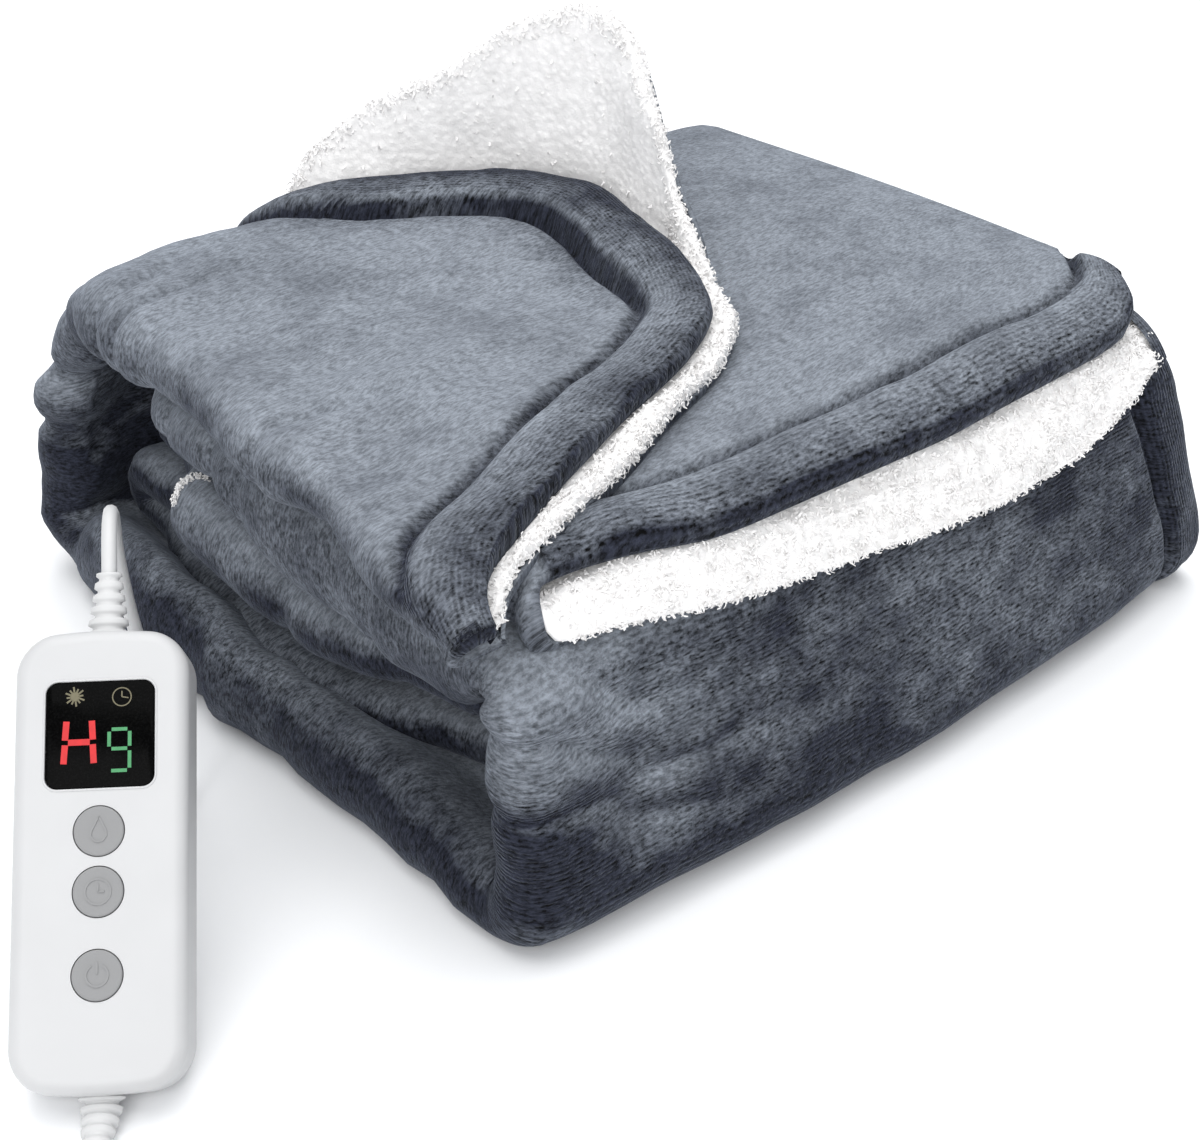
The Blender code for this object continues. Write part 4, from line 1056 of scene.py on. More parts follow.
def add_strokes(name, strokes, raise_by, place, material, body, slot):
    """Flat raised strokes: each a list of places and a width, on the plane of place."""
    mesh = bmesh.new()
    for points, width in strokes:
        points = [Vector(point) for point in points]
        low, high = [], []
        for k, point in enumerate(points):
            ahead = (points[min(k + 1, len(points) - 1)] - points[max(k - 1, 0)]).normalized()
            aside = Vector((-ahead.y, ahead.x)) * width / 2
            for edge in (point + aside, point - aside):
                low.append(mesh.verts.new(place @ Vector((*edge, -raise_by))))
                high.append(mesh.verts.new(place @ Vector((*edge, raise_by))))
        for k in range(len(points) - 1):
            i = 2 * k
            mesh.faces.new((high[i], high[i + 1], high[i + 3], high[i + 2]))
            mesh.faces.new((low[i], low[i + 2], high[i + 2], high[i]))
            mesh.faces.new((low[i + 1], high[i + 1], high[i + 3], low[i + 3]))
        mesh.faces.new((low[0], high[0], high[1], low[1]))
        mesh.faces.new((low[-2], low[-1], high[-1], high[-2]))
    made = add_mesh(name, mesh, material, sharp=40)
    dress(made, slot, body=body)
    return made


def ring_stroke(x, y, radius, width, start=0.0, end=360.0, steps=28):
    turns = [math.radians(start + (end - start) * k / steps) for k in range(steps + 1)]
    return [(x + radius * math.cos(a), y + radius * math.sin(a)) for a in turns], width


def segment(x0, y0, x1, y1, width):
    """One lit bar of a digit, pointed at both ends."""
    start, end = Vector((x0, y0)), Vector((x1, y1))
    ahead = (end - start).normalized() * width * 0.5
    return [start, start + ahead * 0.01, start + ahead, end - ahead, end - ahead * 0.01, end], width


# Left, right, low, middle and high of a digit, the width of its bars and the gap at their ends.
HEAT_DIGIT = (-0.0118, -0.0022, 0.1078, 0.1150, 0.1222, 0.0021, 0.0008)
HOURS_DIGIT = (0.0030, 0.0098, 0.1050, 0.1124, 0.1190, 0.0012, 0.0008)
DIGIT_RAISE = 0.00006
SYMBOL_RAISE = 0.00005
SUN = (-0.0085, 0.1306)
SUN_RAYS = 12
CLOCK = (0.0071, 0.1300)
CLOCK_LINE = 0.0004


def heat_bars():
    """Bars of the letter on the left, whose uprights lean a little."""
    left, right, low, middle, high, wide, gap = HEAT_DIGIT
    return [segment(left + 0.0006, high, left + 0.0002, middle + gap, wide),
            segment(right - 0.0006, high, right - 0.0002, middle + gap, wide),
            segment(left + 0.0002, middle - gap, left - 0.0002, low, wide),
            segment(right - 0.0002, middle - gap, right + 0.0002, low, wide),
            segment(left + 0.0012, middle, right - 0.0012, middle, wide)]


def hours_bars():
    """Bars of the nine on the right."""
    left, right, low, middle, high, wide, gap = HOURS_DIGIT
    top, centre, foot = [segment(left + gap, y, right - gap, y, wide) for y in (high, middle, low)]
    upper = [segment(x, high - gap, x, middle + gap, wide) for x in (left, right)]
    return [top, *upper, centre, segment(right, middle - gap, right, low + gap, wide), foot]


def sun_strokes():
    x, y = SUN
    strokes = [ring_stroke(x, y, 0.0008, 0.0016)]
    for k in range(SUN_RAYS):
        turn = math.radians(360 / SUN_RAYS * k + 8)
        ends = (0.0014, 0.0034 if k % 2 else 0.0028)
        strokes.append(([(x + r * math.cos(turn), y + r * math.sin(turn)) for r in ends], 0.0006))
    return strokes


def clock_strokes():
    x, y = CLOCK
    return [ring_stroke(x, y, 0.0031, CLOCK_LINE), ([(x, y + 0.0020), (x, y)], CLOCK_LINE),
            ([(x, y), (x + 0.0022, y - 0.0004)], CLOCK_LINE)]


def add_digits(red, green, dim):
    """Two figures of lit bars and two small symbols on the glass."""
    place = controller_place(0.0, CASE_THICK - DISPLAY_SUNK)
    for name, strokes, raise_by, material in (
            ("digit_heat", heat_bars(), DIGIT_RAISE, red),
            ("digit_hours", hours_bars(), DIGIT_RAISE, green),
            ("symbol_warmth", sun_strokes(), SYMBOL_RAISE, dim),
            ("symbol_hours", clock_strokes(), SYMBOL_RAISE, dim)):
        add_strokes(name, strokes, raise_by, place, material, "blanket", "display_black")


def key_icon(kind):
    """Strokes of a key's embossed symbol, round its own middle."""
    if kind == "button_power":
        return [ring_stroke(0, 0, 0.0036, 0.0007, 120, 420), ([(0, 0.0044), (0, 0.0004)], 0.0007)]
    if kind == "button_timer":
        return [ring_stroke(0, 0, 0.0042, 0.0006), ([(0, 0.0026), (0, 0)], 0.0006),
                ([(0, 0), (0.0022, 0)], 0.0006)]
    drop = [(0.0, 0.0048), (-0.0013, 0.0022), (-0.0024, 0.0000), (-0.0026, -0.0016), (-0.0014, -0.0032),
            (0.0, -0.0036), (0.0014, -0.0032), (0.0026, -0.0016), (0.0024, 0.0000), (0.0013, 0.0022),
            (0.0, 0.0048)]
    return [(drop, 0.0006)]


def add_keys(material):
    """Softly dished keys with an embossed symbol, each riding on its own body."""
    for name, body, along in BUTTONS:
        place = controller_place(along, CASE_THICK + BUTTON_PROUD - BUTTON_THICK)
        profile = [(BUTTON_RADIUS, 0.0), (BUTTON_RADIUS, BUTTON_THICK - BUTTON_EDGE)]
        profile += [(BUTTON_RADIUS - BUTTON_EDGE * (1 - math.cos(a)),
                     BUTTON_THICK - BUTTON_EDGE * (1 - math.sin(a))) for a in (0.4, 0.8, 1.2, math.pi / 2)]
        profile += [(r, BUTTON_THICK - BUTTON_DISH * (1 - (r / BUTTON_DISH_RADIUS) ** 2))
                    for r in (0.0066, 0.0050, 0.0030, 0.0012)]
        cap = add_loft(name + "_cap", [circle(r, z, 72) for r, z in profile], material, place)
        dress(cap, "button_grey", name, body=body)
        top = controller_place(along, CASE_THICK + BUTTON_PROUD - 0.00015)
        add_strokes(name + "_symbol", key_icon(name), ICON_RAISE, top, material, body, "button_grey")


# ---------------------------------------------------------------- strain reliefs
RELIEF_LENGTH = 0.022
RELIEF_WIDE = (0.0078, 0.0044)
RELIEF_THICK = (0.0050, 0.0031)
RELIEF_RIBS = 5
RELIEF_SIDES = 40
RIB_STEPS = 10
NOTCH_WIDE = 0.26            # depth of the notches, as shares of the width and the thickness
NOTCH_THICK = 0.18
TOP_LIFT = 0.013
LOW_LIFT = 0.0150
LOW_BEND = 0.012
LOW_SLOPE = math.radians(4.6)
GLAND_WIDE = (0.0040, 0.0072)
GLAND_THICK = (0.0036, 0.0068)
GLAND_RIBS = 3


def through(route, count):
    """Evenly spaced points of a smooth curve through the route's own points."""
    knots = [Vector(point) for point in route]
    ends = [2 * knots[0] - knots[1]] + knots + [2 * knots[-1] - knots[-2]]
    dense = []
    fine = 24
    for a, b, c, d in zip(ends, ends[1:], ends[2:], ends[3:]):
        for k in range(fine):
            t = k / fine
            dense.append(0.5 * (2 * b + (c - a) * t + (2 * a - 5 * b + 4 * c - d) * t ** 2
                                + (3 * b - a - 3 * c + d) * t ** 3))
    dense.append(knots[-1])
    run = [0.0]
    for a, b in zip(dense, dense[1:]):
        run.append(run[-1] + (b - a).length)
    points = []
    for k in range(count):
        goal = run[-1] * k / (count - 1)
        i = min(max(int(np.searchsorted(run, goal)) - 1, 0), len(dense) - 2)
        points.append(dense[i].lerp(dense[i + 1], (goal - run[i]) / (run[i + 1] - run[i])))
    return points


def add_relief(name, route, side, wide, thick, ribs, material, *nodes):
    """Ribbed oval strain relief, its ribs rounded and parted by deep notches."""
    steps = RIB_STEPS * ribs
    points = through(route, steps + 1)
    rings = []
    for k, point in enumerate(points):
        ahead = (points[min(k + 1, steps)] - points[max(k - 1, 0)]).normalized()
        upright = side.cross(ahead)
        share = (k / steps) ** 0.8
        phase = math.cos(2 * math.pi * k / RIB_STEPS)
        notch = 0.5 + 0.5 * max(-1.0, min(1.0, 2.2 * phase + 0.7))
        half_wide = (wide[0] + (wide[1] - wide[0]) * share) * (1 - NOTCH_WIDE + NOTCH_WIDE * notch)
        half_thick = (thick[0] + (thick[1] - thick[0]) * share) * (1 - NOTCH_THICK + NOTCH_THICK * notch)
        ring = []
        for j in range(RELIEF_SIDES):
            turn = 2 * math.pi * j / RELIEF_SIDES
            ring.append(point + side * half_wide * math.cos(turn) + upright * half_thick * math.sin(turn))
        rings.append(ring)
    made = add_loft(name, rings, material)
    dress(made, "cord_white", *nodes)
    return made


def top_relief_route():
    return [controller_place(CASE_LENGTH + FIT + RELIEF_LENGTH * k / 2, TOP_LIFT).translation
            for k in range(3)]


def low_relief_route():
    """Out of the low end along the case, then round on LOW_BEND until it is nearly level."""
    start = controller_place(-FIT, LOW_LIFT).translation
    ahead, _ = heading_vectors()
    route = []
    for k in range(5):
        slope = LEAN + (LOW_SLOPE - LEAN) * k / 4
        back = LOW_BEND * (math.sin(LEAN) - math.sin(slope))
        fall = LOW_BEND * (math.cos(slope) - math.cos(LEAN))
        route.append(start - ahead * back - Vector((0, 0, fall)))
    rest = RELIEF_LENGTH - LOW_BEND * (LEAN - LOW_SLOPE)
    for share in (0.5, 1.0):
        step = ahead * math.cos(LOW_SLOPE) + Vector((0, 0, math.sin(LOW_SLOPE)))
        route.append(route[4] - step * rest * share)
    return route


# ---------------------------------------------------------------- the leads
CORD_RADIUS = 0.00275
LOW_TURN = 0.00295           # height of the turns that lie on the floor
HIGH_TURN = 0.0087           # and of those that lie on them
TURN_POINTS = 24
MAINS_POINTS = 262           # points along each lead
LEAD_POINTS = 100
MAINS_COIL = (-0.0980, -0.0409)
MAINS_TURNS = (0.0409, 0.0353, 0.0297, 0.0241)
MAINS_LAST = 7.25            # turns in all
MAINS_STEP = 0.35            # share of a turn that each step inward or outward takes
MAINS_BACK = 7.05            # where the last step outward starts
LEAD_COIL = (0.1120, 0.0195)
LEAD_TURN = 0.0275
MAINS_ROUTE = (
    (-0.0520, 0.0004, 0.0030),
    (-0.0620, 0.0002, 0.00295),
    (-0.0750, 0.0000, 0.00295),
)
TAIL_ROUTE = (
    (-0.1389, -0.0641, 0.0087),
    (-0.1389, -0.0720, 0.0070),
    (-0.1398, -0.0810, 0.0054),
    (-0.1450, -0.0920, 0.0048),
    (-0.1530, -0.0994, 0.0058),
    (-0.1640, -0.1032, 0.0078),
    (-0.1720, -0.1047, 0.0086),
    (-0.1780, -0.1057, 0.0087),
)
DROP_ROUTE = (
    (0.1321, 0.0008, 0.1391),
    (0.1437, 0.0020, 0.1391),
    (0.1538, 0.0036, 0.1333),
    (0.1596, 0.0048, 0.1232),
    (0.1608, 0.0052, 0.1100),
    (0.1614, 0.0030, 0.0800),
    (0.1616, -0.0022, 0.0500),
    (0.1608, -0.0060, 0.0290),
    (0.1582, -0.0074, 0.0170),
    (0.1520, -0.0080, 0.0080),
    (0.1440, -0.0081, 0.0038),
    (0.1375, -0.0080, 0.0030),
    (0.1313, -0.0080, 0.00295),
)
RUN_ROUTE = (
    (0.1313, 0.0470, 0.0084),
    (0.1400, 0.0472, 0.0062),
    (0.1520, 0.0476, 0.0040),
    (0.1660, 0.0482, 0.0031),
    (0.1810, 0.0486, 0.0030),
    (0.1960, 0.0478, 0.0031),
    (0.2100, 0.0446, 0.0036),
    (0.2215, 0.0393, 0.0046),
    (0.2297, 0.0336, 0.0056),
)
GLAND_END = Vector((-0.0019, 0.2450, 0.0125)) - Vector(ORIGIN)
GLAND_LENGTH = 0.022
GLAND_TURN = math.radians(4.0)
GLAND_RISE = 0.200
PLUG_WIDTH = 0.024
PLUG_LENGTH = 0.030
PLUG_THICK = 0.0174
PLUG_CORNER = 0.006
PLUG_ROUNDING = 0.0025
GRIP_RIDGES = 5
GRIP_START = -0.008
GRIP_PITCH = 0.0032
GRIP_REACH = 0.0062
GRIP_WIDTH = 0.0012
GRIP_RAISE = 0.00035
SLEEVE_WIDE = (0.0062, 0.0042)
SLEEVE_THICK = (0.0052, 0.0036)
SLEEVE_RIBS = 5


def from_foot(route):
    """Points of a route given ahead, to the left and in height from the controller's foot."""
    ahead, left = heading_vectors()
    foot = Vector((CONTROLLER_FOOT[0], CONTROLLER_FOOT[1], 0.0))
    return [foot + ahead * along + left * aside + Vector((0, 0, z)) for along, aside, z in route]


def round_middle(middle, radius, turn, height):
    return middle[0] + radius * math.cos(turn), middle[1] + radius * math.sin(turn), height


def mains_turns():
    """Four turns inward on the floor, one step up, and the way back outward on top of them."""
    route = []
    for k in range(round(MAINS_LAST * TURN_POINTS) + 1):
        t = k / TURN_POINTS
        turn = math.radians(90 + 360 * t)
        radius = MAINS_TURNS[0]
        for ring in range(1, 4):
            step = MAINS_TURNS[ring] - MAINS_TURNS[ring - 1]
            radius += step * float(ease(ring - MAINS_STEP, ring, t))
            radius -= step * float(ease(MAINS_BACK - ring, MAINS_BACK + MAINS_STEP - ring, t))
        height = LOW_TURN + (HIGH_TURN - LOW_TURN) * float(ease(3.30, 3.65, t))
        route.append(round_middle(MAINS_COIL, radius, turn, height))
    return route


def lead_turns():
    """One and a half turns under the leaning case, the second on top of the first."""
    route = []
    for k in range(round(1.5 * TURN_POINTS) + 1):
        t = k / TURN_POINTS
        turn = math.radians(-90 - 360 * t)
        height = LOW_TURN + (HIGH_TURN - LOW_TURN) * float(ease(0.66, 1.0, t))
        route.append(round_middle(LEAD_COIL, LEAD_TURN, turn, height))
    return route


def add_lead(name, route, count, material, *nodes):
    """Round lead on one smooth open line."""
    data = bpy.data.curves.new(name, "CURVE")
    data.dimensions = "3D"
    data.bevel_depth = CORD_RADIUS
    data.bevel_resolution = 3
    data.use_fill_caps = True
    spline = data.splines.new("POLY")
    points = through(route, count)
    spline.points.add(len(points) - 1)
    for spot, point in zip(spline.points, points):
        spot.co = (*point, 1.0)
    made = add_object(name, data, material)
    dress(made, "cord_white", *nodes)
    return made, points


def line_length(points):
    return sum((b - a).length for a, b in zip(points, points[1:]))


def add_mains(white, metal):
    """Supply lead out of the low end, its coil, and the plug on its tail."""
    _, left = heading_vectors()
    relief = low_relief_route()
    add_relief("low_relief", relief, left, RELIEF_WIDE, RELIEF_THICK, RELIEF_RIBS, white, "relief_bottom")
    route = relief[-2:] + from_foot(MAINS_ROUTE) + from_foot(mains_turns()) + from_foot(TAIL_ROUTE)
    lead, points = add_lead("supply_lead", route, MAINS_POINTS, white,
                            "mains_lead", "mains_coil", "plug_tail")
    plug = add_plug(white, metal)
    tuple(relief[-1])
    line_length(points)


def plug_place():
    tail = from_foot(TAIL_ROUTE)
    ahead = tail[-1] - tail[-2]
    ahead = Vector((ahead.x, ahead.y, 0.0)).normalized()
    middle = tail[-1] + ahead * (FIT + PLUG_LENGTH / 2)
    middle.z = 0.0
    return Matrix.Translation(middle) @ Matrix.Rotation(math.atan2(-ahead.x, ahead.y), 4, "Z")


def add_plug(white, metal):
    """Moulded two-blade plug with finger ridges and a short ribbed sleeve."""
    place = plug_place()
    rings = rounded_rings(PLUG_WIDTH, PLUG_LENGTH, PLUG_CORNER, 0.0, PLUG_THICK, PLUG_ROUNDING, 6)
    body = add_loft("plug_shell", rings, white, place, sharp=50)
    dress(body, "cord_white", "plug_body")
    ridges = []
    for k in range(GRIP_RIDGES):
        y = GRIP_START + GRIP_PITCH * k
        ridges.append(([(x, y) for x in (-GRIP_REACH, -0.003, 0.003, GRIP_REACH)], GRIP_WIDTH))
    top = place @ Matrix.Translation((0, 0, PLUG_THICK))
    grip = add_strokes("plug_grip", ridges, GRIP_RAISE, top, white, "blanket", "cord_white")
    tail = through(from_foot(TAIL_ROUTE)[-4:], 9)
    sleeve_line = [tail[-1], tail[-3], tail[-5], tail[-7]]
    side = Vector((place.col[0][0], place.col[0][1], 0.0)).normalized()
    sleeve = add_relief("plug_sleeve", sleeve_line, side, SLEEVE_WIDE, SLEEVE_THICK, SLEEVE_RIBS, white)
    blades = [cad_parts[name] for name in ("plug_blade_left", "plug_blade_right")]
    for blade in blades:
        blade.data.materials.clear()
        blade.data.materials.append(metal)
    return [body, grip, sleeve, *blades]


def add_blanket_lead(white):
    """Lead from the controller's top, down behind it, round its small coil and into the blanket."""
    _, left = heading_vectors()
    relief = top_relief_route()
    add_relief("top_relief", relief, left, RELIEF_WIDE, RELIEF_THICK, RELIEF_RIBS, white, "relief_top")
    into = Vector((math.cos(GLAND_TURN), math.sin(GLAND_TURN), GLAND_RISE)).normalized()
    gland_line = [GLAND_END - into * GLAND_LENGTH * share for share in (1.0, 0.5, 0.0)]
    side = Vector((-into.y, into.x, 0.0)).normalized()
    gland = add_relief("gland_sleeve", gland_line, side, GLAND_WIDE, GLAND_THICK, GLAND_RIBS, white,
                       "blanket_gland")
    route = relief[-2:] + from_foot(DROP_ROUTE) + from_foot(lead_turns()) + from_foot(RUN_ROUTE)
    route += [gland_line[0] - into * (FIT + 0.006), gland_line[0] - into * FIT, gland_line[1]]
    lead, points = add_lead("blanket_cord", route, LEAD_POINTS, white,
                            "blanket_lead", "lead_coil", "lead_run")
    tuple(relief[-1])
    line_length(points)


# ---------------------------------------------------------------- materials
def new_material(name, colour, roughness, metallic=0.0, **settings):
    """Principled material; settings are constants on the shader's own sockets."""
    material = bpy.data.materials.new(name)
    material.use_nodes = True
    shader = material.node_tree.nodes["Principled BSDF"]
    shader.inputs["Base Color"].default_value = (*colour, 1.0)
    shader.inputs["Roughness"].default_value = roughness
    shader.inputs["Metallic"].default_value = metallic
    for key, value in settings.items():
        shader.inputs[key.replace("_", " ")].default_value = value
    return material


def node(material, kind, inputs, **settings):
    """New shader node; inputs maps a socket's name or number to a value or to another node's socket."""
    tree = material.node_tree
    made = tree.nodes.new(kind)
    for key, value in settings.items():
        setattr(made, key, value)
    for key, value in inputs.items():
        if isinstance(value, bpy.types.NodeSocket):
            tree.links.new(value, made.inputs[key])
        else:
            made.inputs[key].default_value = value
    return made


def math_node(material, operation, first, second=0.0):
    return node(material, "ShaderNodeMath", {0: first, 1: second}, operation=operation).outputs[0]


def spread(material, value, low, high, new_low, new_high):
    """Value mapped from one range to another, kept within it."""
    return node(material, "ShaderNodeMapRange", {
        "Value": value, "From Min": low, "From Max": high, "To Min": new_low, "To Max": new_high,
    }).outputs["Result"]


def noise_node(material, vector, scale, detail=2.0, roughness=0.5):
    return node(material, "ShaderNodeTexNoise", {
        "Vector": vector, "Scale": scale, "Detail": detail, "Roughness": roughness,
    }).outputs["Fac"]


def object_places(material):
    return node(material, "ShaderNodeTexCoord", {}).outputs["Object"]


def vertex_value(material, name):
    return node(material, "ShaderNodeAttribute", {}, attribute_name=name).outputs["Fac"]


def stretch(material, vector, scale):
    return node(material, "ShaderNodeMapping", {"Vector": vector, "Scale": scale}).outputs["Vector"]


def tint(material, colour, factor):
    """Colour with its brightness multiplied by the factor."""
    made = node(material, "ShaderNodeMix", {"Factor": 1.0}, data_type="RGBA", blend_type="MULTIPLY")
    grey = node(material, "ShaderNodeCombineColor", {"Red": factor, "Green": factor, "Blue": factor})
    if isinstance(colour, bpy.types.NodeSocket):
        material.node_tree.links.new(colour, made.inputs[6])
    else:
        made.inputs[6].default_value = (*colour, 1.0)
    material.node_tree.links.new(grey.outputs[0], made.inputs[7])
    return made.outputs[2]


def put(material, socket, value):
    material.node_tree.links.new(value, material.node_tree.nodes["Principled BSDF"].inputs[socket])


def add_bump(material, height, strength, distance):
    bump = node(material, "ShaderNodeBump", {"Height": height, "Strength": strength, "Distance": distance})
    put(material, "Normal", bump.outputs["Normal"])


# Lit colour of the plush and its painted shaded copy, mixed by its painted light and shade.
PLUSH_LIT = (0.198, 0.217, 0.246)
PLUSH_SHADED = (0.016, 0.018, 0.027)
SHERPA_COLOUR = (0.91, 0.895, 0.885)
GLASS_DARK = (0.002, 0.002, 0.002)
CASE_COLOUR = (0.508, 0.508, 0.511)
CORD_COLOUR = (0.55, 0.55, 0.55)
KEY_COLOUR = (0.238, 0.238, 0.240)
LIT_RED = (0.32, 0.004, 0.006)
LIT_GREEN = (0.03, 0.16, 0.06)
LIT_DIM = (0.090, 0.080, 0.045)
FLOOR_COLOUR = (0.965, 0.969, 0.976)
KNIT_ROW = 0.0018            # from one faint row of the knit to the next


def plush_material():
    """Velvety pile, mixed between a lit and a shaded colour by painted light and shade and by random
    patches of the pile, with faint knit rows.
    """
    material = new_material("plush_pile", PLUSH_LIT, 0.90, Sheen_Weight=0.16, Sheen_Roughness=0.40,
                            Specular_IOR_Level=0.10)
    shader = material.node_tree.nodes["Principled BSDF"]
    shader.inputs["Sheen Tint"].default_value = (0.72, 0.80, 0.95, 1.0)
    places = object_places(material)
    cloth = node(material, "ShaderNodeUVMap", {}, uv_map="cloth").outputs["UV"]
    painted_lighting = vertex_value(material, "painted_lighting")
    row = vertex_value(material, "row")
    rib = vertex_value(material, "rib")
    patches = noise_node(material, places, 13.0, 4.0, 0.6)
    brushed = noise_node(material, stretch(material, cloth, (46.0, 60.0, 1.0)), 1.0, 4.0, 0.62)
    pile = noise_node(material, stretch(material, cloth, (300.0, 820.0, 1.0)), 1.0, 3.0, 0.7)
    coarse = noise_node(material, places, 210.0, 3.0, 0.65)
    broken = noise_node(material, stretch(material, cloth, (260.0, 420.0, 1.0)), 1.0, 2.0, 0.6)
    phase = math_node(material, "ADD", math_node(material, "MULTIPLY", row, 2 * math.pi / KNIT_ROW),
                      math_node(material, "MULTIPLY", coarse, 7.0))
    ridge = math_node(material, "SINE", phase)
    ridge = math_node(material, "MULTIPLY", ridge, spread(material, broken, 0.38, 0.60, 0.0, 1.0))
    ridge = math_node(material, "MULTIPLY", ridge, rib)
    # painted light and shade, moved by random patches and streaks of the pile
    lighting_and_patches = math_node(material, "ADD", painted_lighting, spread(material, patches, 0.34, 0.62, -0.27, 0.10))
    lighting_and_patches = math_node(material, "ADD", lighting_and_patches, spread(material, brushed, 0.36, 0.64, -0.12, 0.12))
    contrast = spread(material, painted_lighting, 0.15, 0.9, 0.62, 0.26)
    shade = math_node(material, "ADD", spread(material, pile, 0.40, 0.60, -1.0, 1.0),
                      spread(material, coarse, 0.38, 0.62, -0.5, 0.5))
    shade = math_node(material, "ADD", shade, math_node(material, "MULTIPLY", ridge, 0.9))
    shade = math_node(material, "ADD", math_node(material, "MULTIPLY", shade, contrast), 1.0)
    pair = node(material, "ShaderNodeMix", {0: lighting_and_patches}, data_type="RGBA", clamp_factor=True)
    pair.inputs[6].default_value = (*PLUSH_SHADED, 1.0)
    pair.inputs[7].default_value = (*PLUSH_LIT, 1.0)
    put(material, "Base Color", tint(material, pair.outputs[2], shade))
    height = math_node(material, "ADD", pile, math_node(material, "MULTIPLY", ridge, 0.7))
    height = math_node(material, "ADD", height, math_node(material, "MULTIPLY", coarse, 1.4))
    add_bump(material, height, 0.60, 0.0009)
    return material


def sherpa_material():
    """Curly white fleece, its colour painted darker in the clefts between the curls as shade."""
    material = new_material("sherpa_fleece", SHERPA_COLOUR, 0.95, Sheen_Weight=0.25, Sheen_Roughness=0.6,
                            Specular_IOR_Level=0.1)
    places = object_places(material)
    curls = node(material, "ShaderNodeTexVoronoi", {"Vector": places, "Scale": 330.0, "Randomness": 1.0},
                 feature="SMOOTH_F1").outputs["Distance"]
    wool = noise_node(material, places, 900.0, 3.0, 0.7)
    soft = noise_node(material, places, 70.0, 2.0, 0.5)
    # painted shade: darker from each curl's crown to the clefts between the curls, with a faint random tone
    shade = math_node(material, "ADD", spread(material, curls, 0.0, 0.9, 1.04, 0.86),
                      spread(material, soft, 0.3, 0.7, -0.04, 0.04))
    put(material, "Base Color", tint(material, SHERPA_COLOUR, shade))
    height = math_node(material, "SUBTRACT", math_node(material, "MULTIPLY", wool, 0.5), curls)
    add_bump(material, height, 0.6, 0.0012)
    return material


def moulded_material(name, colour, roughness, grain):
    """Moulded plastic with a very fine grain and slightly uneven gloss."""
    material = new_material(name, colour, roughness)
    places = object_places(material)
    fine = noise_node(material, places, 2600.0, 2.0, 0.6)
    broad = noise_node(material, places, 45.0, 2.0, 0.5)
    put(material, "Roughness", spread(material, broad, 0.3, 0.7, roughness - 0.04, roughness + 0.05))
    put(material, "Base Color", tint(material, colour, spread(material, broad, 0.3, 0.7, 0.985, 1.015)))
    add_bump(material, fine, grain, 0.00008)
    return material


def glass_material():
    """Dark window with faint dust and smudges."""
    material = new_material("display_glass", (0.004, 0.004, 0.005), 0.10, Specular_IOR_Level=0.03)
    places = object_places(material)
    smudge = noise_node(material, places, 120.0, 4.0, 0.6)
    put(material, "Roughness", spread(material, smudge, 0.3, 0.7, 0.08, 0.22))
    speck = noise_node(material, places, 1500.0, 1.0, 0.5)
    put(material, "Base Color", tint(material, GLASS_DARK, spread(material, speck, 0.45, 0.75, 0.4, 1.6)))
    return material


def lit_material(name, colour, strength):
    """Lit bar of a digit, a little uneven along its length."""
    material = new_material(name, colour, 0.5)
    shader = material.node_tree.nodes["Principled BSDF"]
    shader.inputs["Emission Color"].default_value = (*colour, 1.0)
    places = object_places(material)
    uneven = noise_node(material, places, 420.0, 2.0, 0.5)
    put(material, "Emission Strength", spread(material, uneven, 0.3, 0.7, 0.75 * strength, 1.2 * strength))
    return material


def metal_material():
    material = new_material("blade_metal", (0.78, 0.72, 0.58), 0.28, 1.0)
    places = object_places(material)
    brushed = noise_node(material, stretch(material, places, (200.0, 200.0, 3000.0)), 1.0, 2.0, 0.6)
    put(material, "Roughness", spread(material, brushed, 0.3, 0.7, 0.22, 0.40))
    return material


# ---------------------------------------------------------------- camera, floor and light
CAMERA_SPOT = (-0.5403, -0.5959, 0.4943)
CAMERA_HEADING = math.radians(48.3)     # from +X
CAMERA_FALL = math.radians(31.4)
LENS = 60.0
SENSOR = 36.0
LIT_MIDDLE = (0.0, 0.0, 0.08)
# Name, place, size and power of each lamp.
LIGHTS = (
    ("key", (0.90, 1.20, 3.00), 3.0, 46.0),
    ("top", (-0.3, -0.2, 3.2), 3.0, 66.0),
    ("fill", (-1.9, -1.6, 1.3), 2.0, 37.0),
)
SKY_COLOUR = (0.93, 0.96, 1.0, 1.0)
SKY_STRENGTH = 0.56
FLOOR_REACH = 9.0


def camera_axes():
    """Unit vectors of the camera: ahead, to its right and up."""
    level_part = math.cos(CAMERA_FALL)
    forward = Vector((math.cos(CAMERA_HEADING) * level_part, math.sin(CAMERA_HEADING) * level_part,
                      -math.sin(CAMERA_FALL)))
    right = Vector((math.sin(CAMERA_HEADING), -math.cos(CAMERA_HEADING), 0.0))
    return forward, right, right.cross(forward)


def add_camera():
    data = bpy.data.cameras.new("camera")
    data.lens = LENS
    data.sensor_width = SENSOR
    camera = bpy.data.objects.new("camera", data)
    bpy.context.scene.collection.objects.link(camera)
    camera.location = CAMERA_SPOT
    camera.rotation_euler = camera_axes()[0].to_track_quat("-Z", "Y").to_euler()
    bpy.context.scene.camera = camera


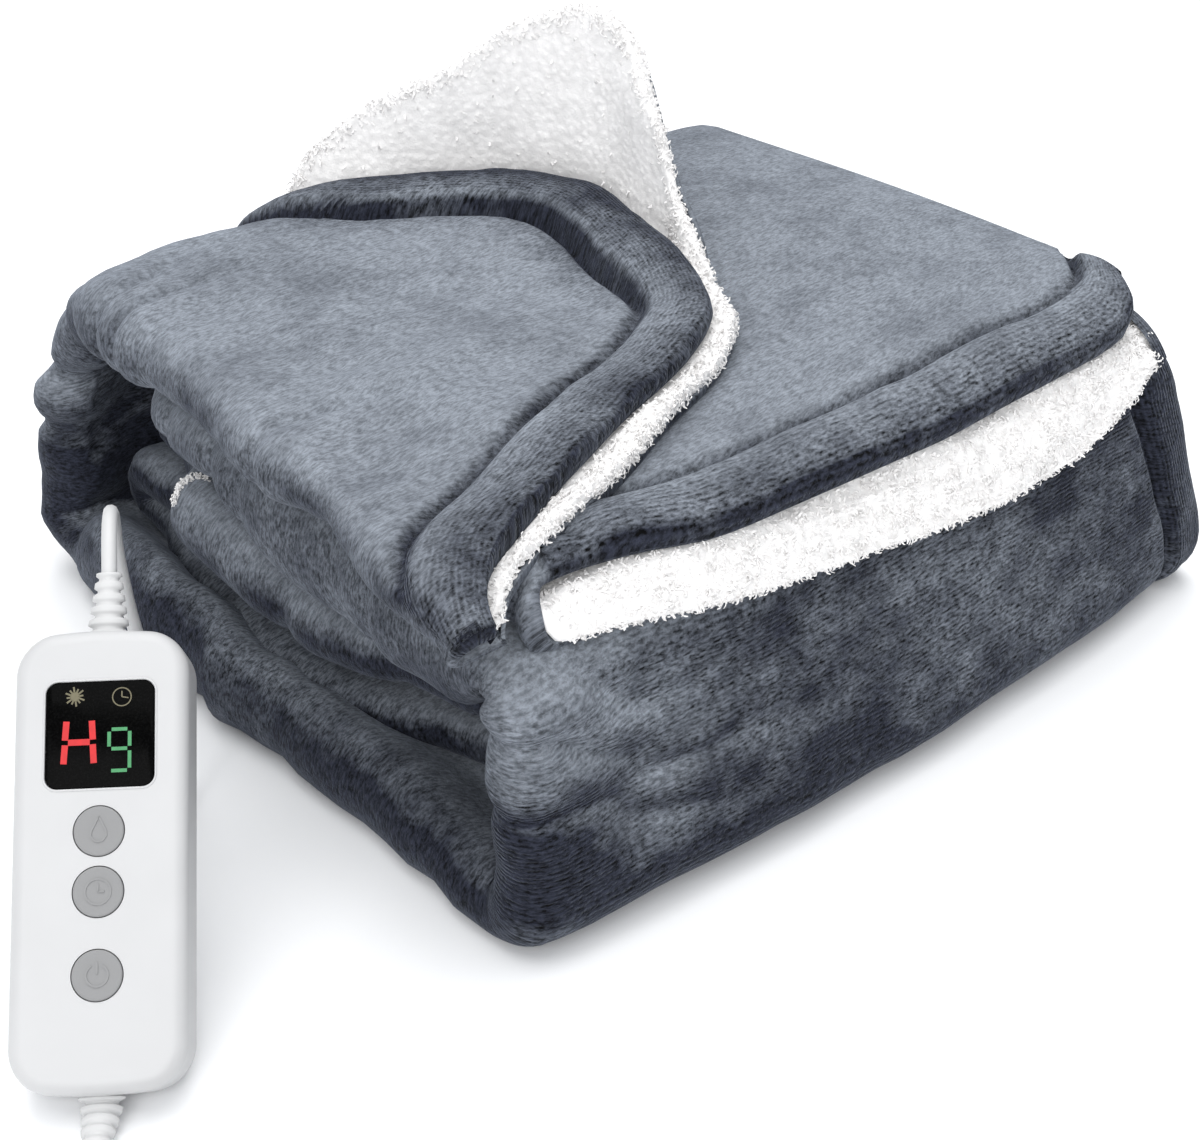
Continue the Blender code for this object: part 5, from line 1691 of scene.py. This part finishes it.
def add_floor():
    mesh = bmesh.new()
    bmesh.ops.create_grid(mesh, x_segments=1, y_segments=1, size=FLOOR_REACH)
    material = new_material("studio_floor", FLOOR_COLOUR, 0.9, Specular_IOR_Level=0.1)
    places = object_places(material)
    uneven = noise_node(material, places, 3.0, 2.0, 0.5)
    put(material, "Base Color",
        tint(material, FLOOR_COLOUR, spread(material, uneven, 0.3, 0.7, 0.995, 1.005)))
    floor = add_mesh("studio_floor", mesh, material)
    floor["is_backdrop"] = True


def add_light(name, spot, size, power):
    data = bpy.data.lights.new(name, "AREA")
    data.shape = "SQUARE"
    data.size = size
    data.energy = power
    light = bpy.data.objects.new(name, data)
    light.location = spot
    light.rotation_euler = (Vector(LIT_MIDDLE) - Vector(spot)).to_track_quat("-Z", "Y").to_euler()
    bpy.context.scene.collection.objects.link(light)


def add_studio():
    add_floor()
    for name, spot, size, power in LIGHTS:
        add_light(name, spot, size, power)
    world = bpy.data.worlds.new("studio")
    world.use_nodes = True
    world.node_tree.nodes["Background"].inputs["Color"].default_value = SKY_COLOUR
    world.node_tree.nodes["Background"].inputs["Strength"].default_value = SKY_STRENGTH
    bpy.context.scene.world = world
    bpy.context.scene.view_settings.view_transform = "Standard"


def write_sizes():
    boxes = {"cad": CAD_BOX, "visual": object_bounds()}
    {name: [list(corner) for corner in box] for name, box in boxes.items()}


def main():
    add_camera()
    add_studio()
    plush = plush_material()
    fleece = sherpa_material()
    case_white = moulded_material("case_plastic", CASE_COLOUR, 0.42, 0.10)
    cord_white = moulded_material("cord_vinyl", CORD_COLOUR, 0.46, 0.14)
    key_grey = moulded_material("key_rubber", KEY_COLOUR, 0.60, 0.25)
    add_mains(cord_white, metal_material())
    add_blanket_lead(cord_white)
    plush_cloth = add_plush(plush)
    sherpa_cloth, points, wanted = add_sherpa(fleece)
    curls = add_tufts("sherpa_curls", points, wanted, TUFT_COUNT, fleece)
    peep = add_peep(plush_cloth, fleece)
    add_controller_case(case_white)
    add_display(glass_material(), case_white)
    add_digits(lit_material("lit_red", LIT_RED, 1.0), lit_material("lit_green", LIT_GREEN, 0.9),
               lit_material("lit_dim", LIT_DIM, 0.7))
    add_keys(key_grey)
    write_sizes()


main()
